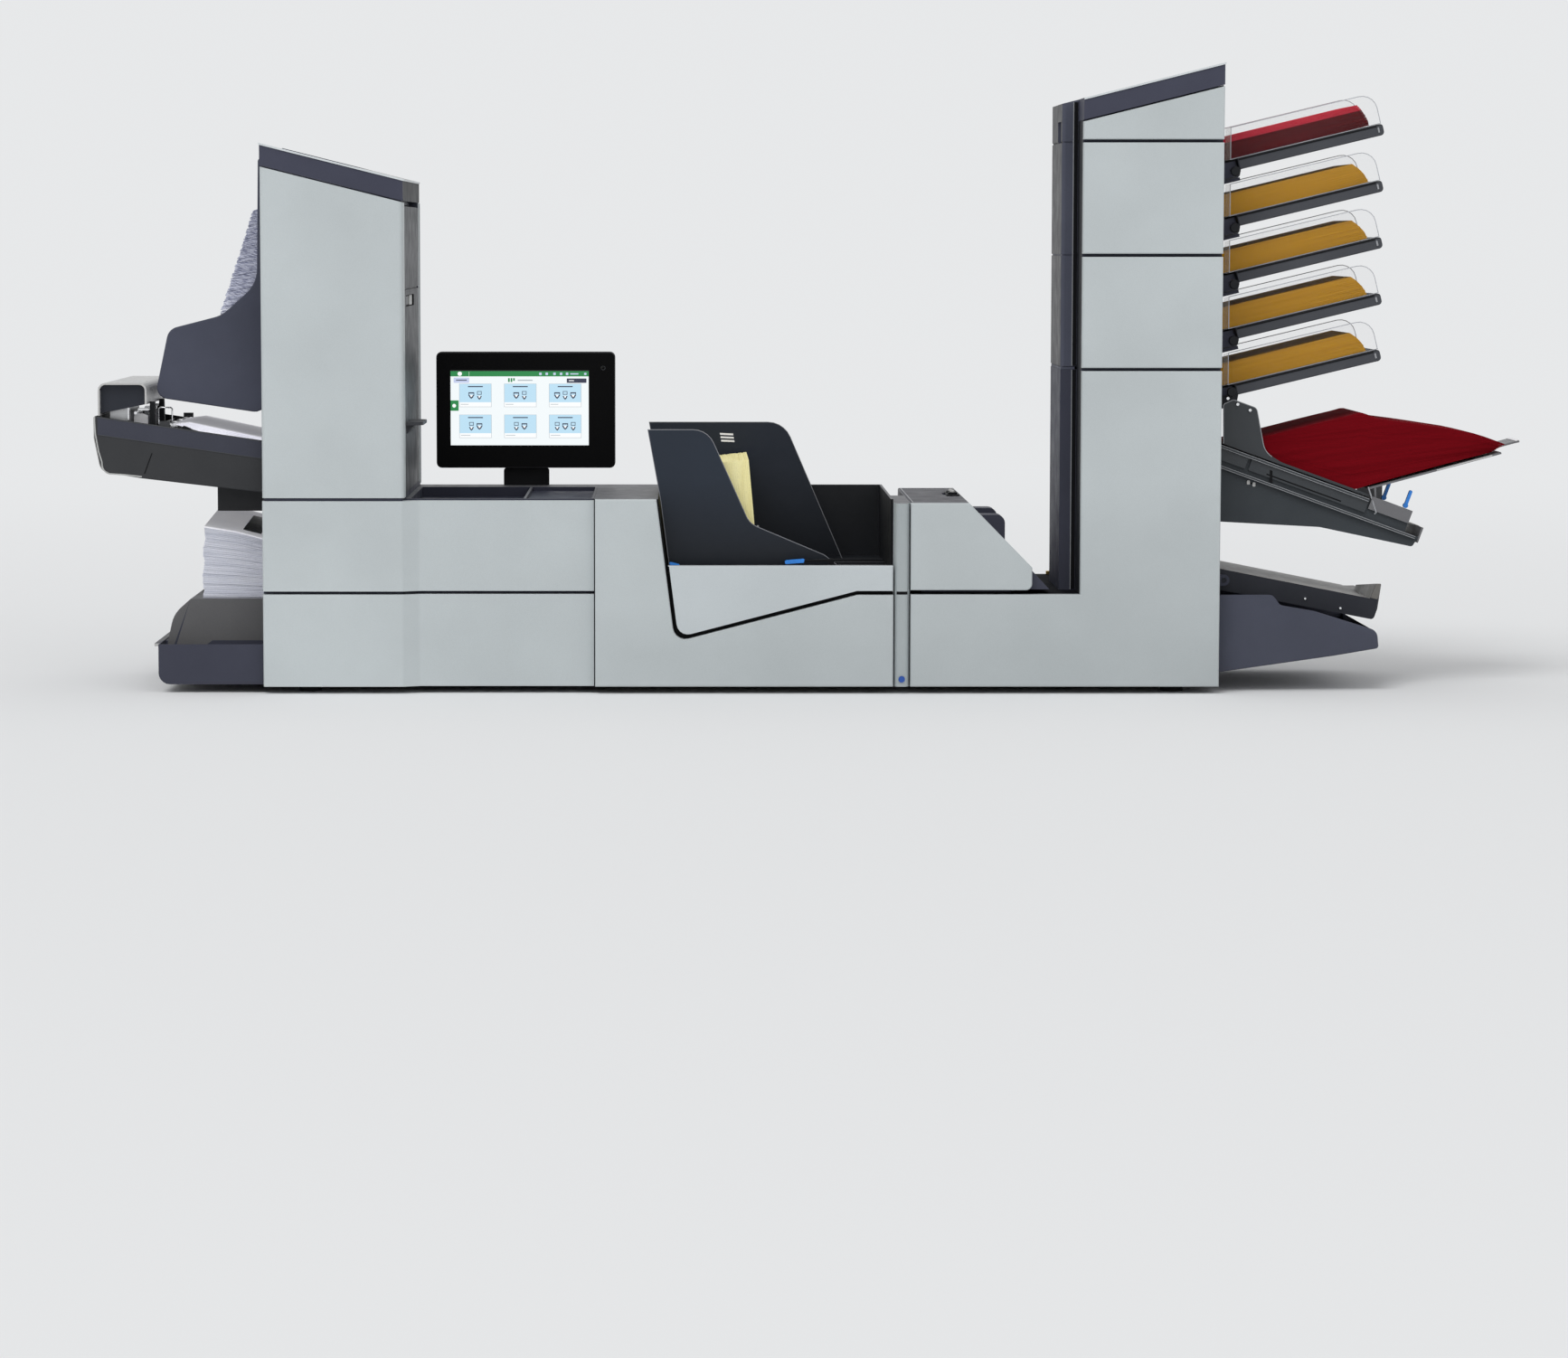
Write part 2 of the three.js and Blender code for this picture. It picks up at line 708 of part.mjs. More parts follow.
function screenNeckPiece() {
  const y0 = neckAxisY - screenNeck.thick / 2;
  const y1 = neckAxisY + screenNeck.thick / 2;
  const left = screenMiddle - screenNeck.wide / 2;
  const right = screenMiddle + screenNeck.wide / 2;
  const shoulder = tiltAxisZ - tiltPin.barrel * 2;
  const post = runY(
    [
      [left, deckHeight + seat],
      [right, deckHeight + seat],
      [right, shoulder, screenNeck.footRound],
      [screenMiddle + neckHalf, shoulder],
      [screenMiddle + neckHalf, tiltAxisZ],
      [screenMiddle - neckHalf, tiltAxisZ],
      [screenMiddle - neckHalf, shoulder],
      [left, shoulder, screenNeck.footRound],
    ],
    y0,
    y1,
  );
  const barrel = barX(neckAxisY, tiltAxisZ, tiltPin.barrel, screenMiddle - neckHalf, screenMiddle + neckHalf);
  const bore = (x0, x1) => barX(neckAxisY, tiltAxisZ, tiltPin.radius, x0, x1);
  return cut(
    join(post, barrel),
    bore(screenMiddle - neckHalf - overrun, screenMiddle - neckHalf + tiltPin.cheek + seat),
    bore(screenMiddle + neckHalf - tiltPin.cheek - seat, screenMiddle + neckHalf + overrun),
  );
}

// Envelope module: the slanting seam round the pocket door starts at the top and ends level at the right
const seamX = (z) => centreStart + seamStartIn + (deckHeight - z) * seamSlant;
const kinkX = centreEnd - seamKinkIn;
const seamLevel = seamLowest + (kinkX - seamX(seamLowest)) * seamRise;
const doorRight = centreEnd - 2 * seat;
const doorOutline = insetOutline(
  [
    [seamX(doorTop), doorTop],
    [seamX(seamLowest), seamLowest, seamRound],
    [kinkX, seamLevel, seamRound / 2],
    [doorRight, seamLevel],
    [doorRight, doorTop],
  ],
  [seam / 2, seam / 2, seam / 2, 0, 0],
);

function centreFrame() {
  const left = deckEnd + seat;
  const body = block(left, bodyFront, footHeight, centreEnd, bodyDepth, deckHeight);
  const right = centreEnd - pocketSideWall;
  const pocket = runY(
    [
      [seamX(deckHeight + overrun), deckHeight + overrun],
      [seamX(pocketFloor), pocketFloor],
      [right, pocketFloor],
      [right, deckHeight + overrun],
    ],
    -overrun,
    bodyDepth - pocketBackWall,
  );
  const bin = runY(insetOutline(doorOutline, binInset), -overrun, bodyFront + binDeep);
  const hollow = baseHollow(left, bodyFront + binDeep, centreEnd, bodyDepth, pocketFloor);
  const pillar = block(
    left + frameWall, bodyFront + binDeep + frameWall, pocketFloor - 2 * frameWall,
    seamX(deckHeight) - frameWall, bodyDepth - frameWall, deckHeight - frameWall,
  );
  const room = hopperWide - 2 * hopperRun;
  const pitch = room / bedRail.count;
  const rails = Array.from({ length: bedRail.count }, (_, k) => {
    const y = hopperFront + hopperRun + (k + 0.5) * pitch;
    return block(
      seamX(pocketFloor) - overrun / 4, y - bedRail.wide / 2, pocketFloor - frameWall,
      right + seat, y + bedRail.wide / 2, pocketFloor + bedRail.high,
    );
  });
  return join(cut(body, pocket, bin, pillar, ...hollow), ...rails);
}

const centrePanelOutline = insetOutline(
  [
    [centreStart, footHeight],
    [centreEnd, footHeight],
    [centreEnd, seamLevel],
    [kinkX, seamLevel, seamRound / 2],
    [seamX(seamLowest), seamLowest, seamRound],
    [seamX(deckHeight), deckHeight],
    [centreStart, deckHeight],
  ],
  [0, 0, seam / 2, seam / 2, seam / 2, 0, 0],
);

// A guide of the envelope hopper: an upright plate with a foot that points along side.
function hopperGuide(shares, y, side) {
  const left = centreEnd - hopperLong;
  const low = pocketFloor + seat;
  const high = hopperTop - low;
  const outline = shares.map(([a, b, r = 0]) => [left + a * hopperLong, low + b * high, r * high]);
  const plate = runY(outline, y, y + guideWall);
  const foot = block(
    outline[0][0], Math.min(y, y + side * bedRail.wide), low,
    left + shares[shares.length - 1][0] * hopperLong - guideWall,
    Math.max(y + guideWall, y + guideWall + side * bedRail.wide), low + guideWall,
  );
  return join(plate, foot);
}

function hopperLeverLeft() {
  const x = seamX(pocketFloor) + leftLever.along;
  const z = pocketFloor + seat + leftLever.hub;
  const { front, wide, hub, reach, rise, thick } = leftLever;
  const blade = runY(
    [
      [x - hub / 2, z],
      [x + hub / 2, z],
      [x + hub, z + rise - thick],
      [x + hub, z + rise, hub / 2],
      [x - reach, z + rise + thick, hub / 2],
      [x - reach, z + rise],
    ],
    front,
    front + wide,
  );
  return join(blade, barY(x, z, hub, front - seat, front + wide + seat, 16));
}

function hopperLeverRight() {
  const x = centreEnd - hopperLong + rightLever.along;
  const z = pocketFloor + seat + rightLever.hub;
  const { front, wide, hub, reach, rise, thick, arm } = rightLever;
  const tip = x - reach;
  const blade = runY(
    [
      [x - hub, z],
      [x + hub, z],
      [x + hub / 2, z + rise, hub / 2],
      [tip + rightLever.grip, z + rise - arm],
      [tip + rightLever.grip, z + rise - arm - thick / 2],
      [x - hub, z + rise - 2 * arm],
    ],
    front + wide / 4,
    front + wide - wide / 4,
  );
  const stick = runY(
    [
      [tip, z + rise - thick - arm, thick / 2],
      [tip + rightLever.grip + arm, z + rise - thick, thick / 4],
      [tip + rightLever.grip + arm, z + rise, thick / 4],
      [tip, z + rise - arm, thick / 2],
    ],
    front,
    front + wide,
  );
  return join(blade, stick, barY(x, z, hub, front - seat, front + wide + seat, 16));
}

// Column between the modules
const columnLeft = centreEnd + moduleGap;
const columnRight = rightStart - moduleGap;
const columnMiddle = (columnLeft + columnRight) / 2;

function columnCover() {
  const outline = [
    [columnLeft, 0, columnRound],
    [columnRight, 0, columnRound],
    [columnRight, bodyFront],
    [rightStart - seat, bodyFront],
    [rightStart - seat, columnDepth],
    [centreEnd + seat, columnDepth],
    [centreEnd + seat, bodyFront],
    [columnLeft, bodyFront],
  ];
  const body = runZ(outline, footHeight, columnHeight);
  const inner = insetOutline(outline, panelWall);
  inner[4][1] += overrun;
  inner[5][1] += overrun;
  const hollow = runZ(inner, footHeight + panelWall, columnHeight - panelWall);
  const groove = block(
    columnLeft - overrun, -overrun, seamHeight - seam / 2,
    columnRight + overrun, columnNotch / 2, seamHeight + seam / 2,
  );
  const bore = barY(columnMiddle, buttonHeight, buttonRadius + seat, -overrun, panelDepth);
  return cut(body, hollow, groove, bore);
}

// A push button with a collar behind the wall that it comes through.
const columnButton = () =>
  join(
    barY(columnMiddle, buttonHeight, buttonRadius, -buttonProud, buttonLong, 28),
    barY(columnMiddle, buttonHeight, buttonRadius + buttonCollar, buttonLong, buttonLong + buttonCollar, 28),
  );

// Local frame of feed tray k: x runs out and up along the tray from the tower, y is across it.
const trayMatrix = (k) =>
  new THREE.Matrix4()
    .makeRotationY(-trayAngle)
    .setPosition(rightEnd + seat, trayFront, trayLowHeight + (trayCount - 1 - k) * trayPitch);
const trayArmPlaces = [trayArm.inset, trayWidth - trayArm.inset - trayArm.wide];

// Ledges on the tower's side that a tray's two arms lie on.
function trayLedges(k) {
  return trayArmPlaces.map((y) => {
    const slab = block(
      -overrun, y, -trayArm.drop - seat - trayLedge.thick,
      trayLedge.long, y + trayArm.wide, -trayArm.drop - seat,
    ).applyMatrix4(trayMatrix(k));
    return cut(slab, block(0, 0, 0, rightEnd - frameWall / 2, bodyDepth, 2 * rightTowerLow));
  });
}

// Right tower and folding unit
const aboveRight = (lift, inward = 0) =>
  above(rightTowerStart, rightTowerLow + lift - inward, rightSlope, 2 * rightTowerLow);
const rightBaseTop = seamHeight - seam / 2;
const foldPlateFront = bodyFront + foldWall + foldPlateIn;
const foldPlateBack = bodyDepth - foldWall - foldPlateIn - foldPlate;
const foldEdge = [rightStart + foldReach, foldFoot];
const foldShoulder = [rightStart + foldTopLength, foldTop];
const rollerPlaces = [1, -1].map((side) => [
  rightStart + rollerAt.along,
  rollerAt.high + side * (rollerRadius + rollerGap / 2),
]);

function rightFrame() {
  const left = rightTowerStart + seat;
  const tower = block(left, bodyFront, rightBaseTop - overrun, rightEnd, bodyDepth, 2 * rightTowerLow);
  const base = block(rightStart, bodyFront, footHeight, rightEnd, bodyDepth, rightBaseTop);
  const side = block(
    rightTowerStart - sideDoorThick, sideDoorFront, rightBaseTop - overrun / 4,
    left + overrun, sideDoorFront + sideDoorDepth, towerSections[0] - seam / 2,
  );
  const hingeRail = block(
    rightStart + foldWall, bodyDepth - foldPlateIn, rightBaseTop - seat,
    foldEdge[0] - foldWall, bodyDepth, foldFoot - seat,
  );
  const chamber = cut(
    block(left + frameWall, bodyFront + frameWall, footHeight + 2 * frameWall,
      rightEnd - frameWall, bodyDepth - frameWall, 2 * rightTowerLow),
    aboveRight(capReveal - seat, frameWall),
  );
  const hollow = baseHollow(rightStart, bodyFront, rightEnd, bodyDepth, rightBaseTop);
  const plates = [foldPlateFront, foldPlateBack].map(foldSidePlate);
  const ledges = Array.from({ length: trayCount }, (_, k) => trayLedges(k)).flat();
  const solid = join(base, cut(tower, aboveRight(capReveal - seat)), side, hingeRail);
  return join(cut(solid, chamber, ...hollow), ...plates, ...ledges, ...deliveryEars());
}

// An upright plate inside the folding unit with the two rollers' bearing holes.
function foldSidePlate(y) {
  const low = rightBaseTop - seat;
  const inset = 4 * foldWall + rollerRadius / 2;
  const plate = runY(
    [
      [rightStart + inset, low],
      [foldEdge[0] - 3 * inset, low],
      [foldShoulder[0] + inset, foldTop - 2 * inset, foldRound],
      [foldShoulder[0] - inset / 2, foldTop - inset, foldRound],
      [rightStart + inset, foldTop - inset, foldRound],
    ],
    y,
    y + foldPlate,
  );
  return cut(plate, ...rollerPlaces.map(([x, z]) => barY(x, z, journal.radius, y - overrun, y + overrun)));
}

function foldRoller([x, z]) {
  const front = foldPlateFront + foldPlate + seat;
  const back = foldPlateBack - seat;
  const reach = foldPlate * journal.share;
  return join(
    barY(x, z, rollerRadius, front, back, 28),
    barY(x, z, journal.radius - journal.clearance, front - reach, back + reach),
  );
}

// Height of the cover's slanting side.
const foldSurface = (x) =>
  foldTop - ((x - foldShoulder[0]) * (foldTop - foldFoot)) / (foldEdge[0] - foldShoulder[0]);

function foldCover() {
  const outline = [
    [rightStart, foldFoot],
    foldEdge,
    foldShoulder,
    [rightStart, foldTop, foldWall],
  ];
  const shell = runY(outline, bodyFront, bodyDepth);
  const w = foldWall;
  const hollow = runY(insetOutline(outline, [-overrun, w, w, w]), bodyFront + w, bodyDepth - w);
  const lobes = [0, 1].map((k) => {
    const y = lobe.first + k * lobe.pitch;
    const x0 = rightStart + lobe.left;
    const x1 = rightStart + lobe.reach;
    return runY(
      [
        [x0, lobe.top],
        [x0, foldSurface(x0) - w / 2],
        [x1, foldSurface(x1) - w / 2],
        [x1, lobe.top, lobe.round],
      ],
      y,
      y + lobe.wide,
    );
  });
  const right = foldShoulder[0] - grip.inset;
  const left = right - grip.wide;
  const end = grip.start + grip.long;
  const well = block(left - w, grip.start - w, foldTop - grip.deep - w, right, end + w, foldTop - w / 2);
  const pocket = block(left, grip.start, foldTop - grip.deep, right - w, end, foldTop + overrun);
  return cut(join(cut(shell, hollow), well, ...lobes), pocket);
}

const foldPanelOutline = [
  [rightStart, foldFoot],
  [rightStart + foldPanelLength, foldFoot, foldRound],
  [rightStart + foldPanelLength, foldFoot + foldPanelHeight],
  foldShoulder,
  [rightStart, foldTop],
];

const section = (k, side) => towerSections[k] + (side * seam) / 2;
const rightPanelOutline = [
  [rightStart, footHeight],
  [rightEnd, footHeight],
  [rightEnd, section(0, -1)],
  [rightTowerStart, section(0, -1)],
  [rightTowerStart, rightBaseTop],
  [rightStart, rightBaseTop],
];
const towerPanelOutline = (k) => [
  [rightTowerStart, section(k, 1)],
  [rightEnd, section(k, 1)],
  [rightEnd, section(k + 1, -1)],
  [rightTowerStart, section(k + 1, -1)],
];
const capPanelOutline = [
  [rightTowerStart, section(2, 1)],
  [rightEnd, section(2, 1)],
  [rightEnd, rightTowerTop(rightEnd)],
  [rightTowerStart, rightTowerTop(rightTowerStart)],
];

const sideDoorLeft = rightTowerStart - sideDoorThick;

const rightTowerCap = () => towerCap(rightTowerStart + seat, rightEnd, rightTowerTop, 0);

// The side door stands beside the cap and ends in line with the cap's plate.
function rightTowerDoor() {
  const right = rightTowerStart;
  const rise = capBand + capPlate;
  const high = rightTowerTop(sideDoorLeft) + rise;
  const back = sideDoorFront + sideDoorDepth;
  const low = section(0, 1);
  const slab = runZ(
    [
      [sideDoorLeft, sideDoorFront, sideDoorEdge],
      [right, sideDoorFront],
      [right, back],
      [sideDoorLeft, back],
    ],
    low,
    2 * rightTowerLow,
  );
  const body = cut(slab, aboveRight(rise));
  const grooves = towerSections.slice(1).map((z) =>
    cut(
      block(
        sideDoorLeft - overrun, sideDoorFront - overrun, z - seam / 4,
        right + overrun, back + overrun, z + seam / 4,
      ),
      block(
        sideDoorLeft + sideDoorGroove, sideDoorFront + sideDoorGroove, z - seam,
        right + 2 * overrun, back - sideDoorGroove, z + seam,
      ),
    ),
  );
  const slotTop = high - sideSlot.down;
  const slotFront = sideDoorFront + sideSlot.start;
  const slot = block(
    sideDoorLeft - overrun, slotFront, slotTop - sideSlot.tall,
    sideDoorLeft + sideSlot.deep, slotFront + sideSlot.long, slotTop,
  );
  return cut(body, slot, ...grooves);
}

// Feed trays
function trayBase(k) {
  const body = runY(
    [
      [trayStart, -trayThick, trayShell],
      [trayLength, -trayThick, trayThick / 3],
      [trayLength, 0, trayThick / 4],
      [trayStart, 0],
    ],
    0,
    trayWidth,
    panelBevel,
  );
  const bay = (trayLength - trayStart - 2 * trayShell) / trayRibs;
  const hollows = Array.from({ length: trayRibs }, (_, i) => {
    const x = trayStart + trayShell + i * bay;
    return block(
      x + trayShell / 2, 2 * trayShell, -trayThick - overrun,
      x + bay - trayShell / 2, trayWidth - 2 * trayShell, -trayShell,
    );
  });
  const arms = trayArmPlaces.map((y) =>
    runY(
      [
        [0, -trayArm.drop],
        [trayLedge.long, -trayArm.drop, trayArm.lap],
        [trayStart + trayArm.lap, -trayThick + trayShell],
        [trayStart + trayShell, -trayShell],
        [0, -trayShell, trayArm.lap],
      ],
      y,
      y + trayArm.wide,
    ),
  );
  return join(cut(body, ...hollows), ...arms).applyMatrix4(trayMatrix(k));
}

// A side guide: a clear plate with a long rounded nose, a thick rib at the tower and a foot on the tray.
function trayGuide(k, rear) {
  const lean = tan(trayAngle);
  const root = guideStart / Math.cos(trayAngle);
  const top = guideHigh;
  const outline = [
    [root, seat],
    [trayLength - guideShort, seat],
    [trayLength - guideShort, top, guideArc],
    [root + top * lean, top, guideFoot / 8],
  ];
  const ribOutline = [
    [root, seat],
    [root + guideRib.wide, seat],
    [root + guideRib.wide + top * lean, top],
    [root + top * lean, top],
  ];
  const foot = block(
    trayStart + trayShell, guideThick / 2, seat,
    trayLength - guideArc, guideFoot, seat + guideThick / 2,
  );
  const solid = join(
    runY(outline, 0, guideThick),
    runY(ribOutline, -guideRib.proud, guideThick),
    foot,
  );
  const y = guideInset;
  const inPlace = new THREE.Matrix4().makeTranslation(0, y, 0);
  if (rear) inPlace.makeScale(1, -1, 1).setPosition(0, trayWidth - y, 0);
  const placed = solid.applyMatrix4(inPlace);
  if (rear) flip(placed);
  return placed.applyMatrix4(trayMatrix(k));
}

// Turns the faces of a mirrored solid outward again.
function flip(geometry) {
  const order = geometry.index.array;
  for (let i = 0; i < order.length; i += 3) {
    const first = order[i];
    order[i] = order[i + 1];
    order[i + 1] = first;
  }
}

// Large sheet feeder, built on a line that falls away from the tower
const slant = (x, z) => [
  rightEnd + seat + x * Math.cos(feederAngle) + z * Math.sin(feederAngle),
  feederHeight - x * Math.sin(feederAngle) + z * Math.cos(feederAngle),
];
const slanted = (corners) => corners.map(([x, z, r = 0]) => [...slant(x, z), r]);
const onSlant = (x0, y0, z0, x1, y1, z1) =>
  runY(slanted([[x0, z0], [x1, z0], [x1, z1], [x0, z1]]), feederFront + y0, feederFront + y1);
const saddleEnd = saddle.start + saddle.long;

function feederFrame() {
  const body = runY(
    [
      [rightEnd + seat, feederRoot],
      [rightEnd + feederMid.along, feederMid.high, railDrop],
      [rightEnd + feederTip.along, feederTip.high, railThick],
      ...slanted([
        [feederLength, -railDrop],
        [saddleEnd, -railDrop],
        [saddleEnd, 0],
      ]),
      [rightEnd + seat, slant(0, 0)[1]],
    ],
    feederFront,
    feederFront + feederWidth,
  );
  const sides = [[-railProud, seat], [feederWidth - seat, feederWidth + railProud]];
  const rails = sides.flatMap(([y0, y1]) => [
    onSlant(railProud, y0, -railThick, girder.end, y1, 0),
    onSlant(girder.first, y0, -railDrop - railThick, feederLength - railThick, y1, -railDrop),
  ]);
  const bays = [[girder.first, girder.split], [girder.split + girder.gap, girder.end]];
  const girderFoot = -railDrop + girder.lift;
  const girders = bays.map(([a, b]) => onSlant(a, -girder.proud, girderFoot, b, seat, -railThick));
  const step = (feederWidth - belt.wide) / belt.count;
  const belts = Array.from({ length: belt.count }, (_, i) => {
    const y = (i + 0.5) * step;
    return onSlant(belt.wide / 2, y, -seat, belt.end, y + belt.wide, belt.high);
  });
  return join(body, ...rails, ...girders, ...belts);
}

// The feeder's sliding saddle carries the long sheet support.
function feederSaddle() {
  const { start, wall, skirt } = saddle;
  const top = wall + seat;
  const plate = onSlant(start, -wall - seat, seat, saddleEnd, feederWidth + wall + seat, top);
  const skirts = [[-wall - seat, -seat], [feederWidth + seat, feederWidth + wall + seat]].map(([y0, y1]) =>
    onSlant(start, y0, top - skirt, saddleEnd, y1, top - seat),
  );
  const [x0, z0] = slant(start - railProud, supportLift);
  const along = (d, lift) => [
    x0 + d * Math.cos(supportAngle) - lift * Math.sin(supportAngle),
    z0 + d * Math.sin(supportAngle) + lift * Math.cos(supportAngle),
  ];
  const slab = (from, to) => [
    along(from, 0),
    along(to, 0),
    along(to, supportWall),
    along(from, supportWall),
  ];
  const support = runY(slab(0, supportLength), feederFront + seat, feederFront + feederWidth - seat);
  const middle = feederFront + feederWidth * supportTongue.centreShare;
  const tongue = runY(
    slab(supportLength - supportWall, supportLength + supportTongue.long),
    middle - supportTongue.wide / 2,
    middle + supportTongue.wide / 2,
  );
  const legTop = along(railProud, supportWall / 2);
  const legFoot = slant(start + 2 * supportLeg, seat);
  const leg = (y) =>
    runY(
      [legTop, [legTop[0] + supportLeg, legTop[1]], [legFoot[0] + supportLeg, legFoot[1]], legFoot],
      y,
      y + supportLeg,
    );
  const upX = slant(start + supportUpright.along, 0)[0] - supportUpright.wide / 2;
  const upright = cut(
    block(
      upX, feederFront + feederWidth - supportUpright.thick, feederTip.high,
      upX + supportUpright.wide, feederFront + feederWidth - seat, feederHeight,
    ),
    runY(
      [along(-supportLength, supportWall / 2), along(supportLength, supportWall / 2),
        along(supportLength, supportLength), along(-supportLength, supportLength)],
      0,
      bodyDepth,
    ),
    runY(slanted([[0, top - seat], [0, -feederHeight], [feederLength, -feederHeight],
      [feederLength, top - seat]]), 0, bodyDepth),
  );
  const legs = [feederFront + seat, feederFront + feederWidth - seat - supportLeg].map(leg);
  return join(plate, ...skirts, support, tongue, upright, ...legs);
}

function feederSideGuide() {
  const g = plateGuide;
  const lean = tan(feederAngle);
  const foot = belt.high + seat;
  const outline = slanted([
    [g.start, foot],
    [g.start - g.top * lean, g.top, belt.high * 3],
    [g.low, g.crown, railThick * 2],
    [g.crownEnd, g.crown, railThick * 2],
    [g.fall, g.low * 2, railDrop],
    [g.fall + railDrop, g.low, railDrop],
    [g.end, g.low],
    [g.end, foot],
  ]);
  const y = feederFront + belt.high;
  const plate = runY(outline, y, y + g.thick);
  const flange = runY(
    slanted([[g.start, foot], [g.end, foot], [g.end, foot + g.thick], [g.start, foot + g.thick]]),
    y,
    y + belt.wide,
  );
  return join(plate, flange);
}

function feederLever([a, b]) {
  const { wide, thick, tall, hub } = leverSize;
  const x = saddle.start + a * saddle.long;
  const z = saddle.wall + 2 * seat + hub;
  const y = feederFront + b * feederWidth;
  const blade = runY(
    slanted([
      [x - thick / 2, z],
      [x + thick / 2, z],
      [x + thick / 2, z + tall, thick / 2],
      [x - thick / 2, z + tall, thick / 2],
    ]),
    y,
    y + wide,
  );
  const [hx, hz] = slant(x, z);
  return join(blade, barY(hx, hz, hub, y - seat, y + wide + seat, 16));
}

// Lower delivery unit
function deliveryEars() {
  const x = rightEnd + deckPin.along;
  const z = deliveryDeckHigh - deckPin.down;
  const places = [
    deliveryDeckFront - deckPin.ear - seat,
    deliveryDeckFront + deliveryDeckWide + seat,
  ];
  return places.map((y) =>
    cut(
      runY(
        [
          [rightEnd - frameWall / 2, z - deckPin.eye],
          [x + deckPin.eye, z - deckPin.eye, deckPin.eye],
          [x + deckPin.eye, z + deckPin.eye, deckPin.eye],
          [rightEnd - frameWall / 2, z + deckPin.eye],
        ],
        y,
        y + deckPin.ear,
      ),
      barY(x, z, deckPin.radius + journal.clearance, y - overrun, y + deckPin.ear + overrun),
    ),
  );
}

// A trough: a closed outline hollowed by its wall, with its roof taken off by lifting the hollow.
function trough(outline, front, back, wall) {
  const hollow = runY(insetOutline(outline, wall), front + wall, back - wall);
  return cut(runY(outline, front, back, panelBevel), hollow, hollow.clone().translate(0, 0, 2 * wall));
}

function deliveryHousing() {
  const outline = deliveryShares.map(([a, b, r = 0]) => [
    rightEnd + seat + a * deliveryReach,
    footHeight + b * (deliveryHigh - footHeight),
    r * deliveryHigh,
  ]);
  return trough(outline, deliveryFront, deliveryFront + deliveryDepth, deliveryWall);
}

function deliveryDeck() {
  const left = rightEnd + deckEndGap;
  const fall = tan(deliveryDeckAngle);
  const top = (x) => deliveryDeckHigh - x * fall;
  const x1 = deliveryDeckLong;
  const x0 = deckEndGap;
  const outline = [
    [left, top(x0) - deliveryDeckThick],
    [rightEnd + x1, top(x1) - deliveryDeckThick, deckStop.thick],
    [rightEnd + x1 + deckStop.thick, top(x1) - deliveryDeckThick / 2],
    [rightEnd + x1 + deckStop.thick * 2, top(x1) + deckStop.tall, deckStop.thick / 3],
    [rightEnd + x1 + deckStop.thick / 2, top(x1) + deckStop.tall, deckStop.thick / 3],
    [rightEnd + x1 - deckStop.thick, top(x1) + seat],
    [left, top(x0)],
  ];
  const front = deliveryDeckFront;
  const back = deliveryDeckFront + deliveryDeckWide;
  const w = deliveryWall;
  // Above the deck the tab is cut off behind its length and along its falling top.
  const stopLeft = rightEnd + x1 - 2 * deckStop.thick;
  const stopRight = rightEnd + x1 + 3 * deckStop.thick;
  const behind = block(
    stopLeft, front + deckStop.long, top(x1) + seat,
    stopRight, back + overrun, top(x1) + 2 * deckStop.tall,
  );
  const over = block(0, 0, 0, stopRight - stopLeft, 2 * deckStop.long, deckStop.tall)
    .rotateX(-Math.atan2(deckStop.fall, deckStop.long))
    .translate(stopLeft, front, top(x1) + deckStop.tall);
  const body = cut(runY(outline, front, back), behind, over);
  const hollow = runY(
    [
      [left + w, -overrun],
      [rightEnd + x1 - 2 * w, -overrun],
      [rightEnd + x1 - 2 * w, top(x1) - w],
      [left + w, top(x0) - w],
    ],
    front + w,
    back - w,
  );
  const x = rightEnd + deckPin.along;
  const z = deliveryDeckHigh - deckPin.down;
  const frontPin = barY(x, z, deckPin.radius, front - deckPin.long, front + w);
  const backPin = barY(x, z, deckPin.radius, back - w, back + deckPin.long);
  return join(cut(body, hollow), frontPin, backPin);
}

// Left side of the machine: a bin over an exit unit over a stacker
function sheetBin() {
  const high = binTop - binFoot;
  const outline = binShares.map(([a, b, r = 0]) => [-seat - a * binReach, binFoot + b * high, r * binReach]);
  const chute = block(
    -binReach, binFront + binWall, binFoot + binNeckShare * high,
    -seat - binWall, binFront + binWidth - binWall, binTop + overrun,
  );
  return cut(trough(outline, binFront, binFront + binWidth, binWall), chute);
}

const exitTop = (x) => exitHigh - (x + exitReach) * exitSlope;

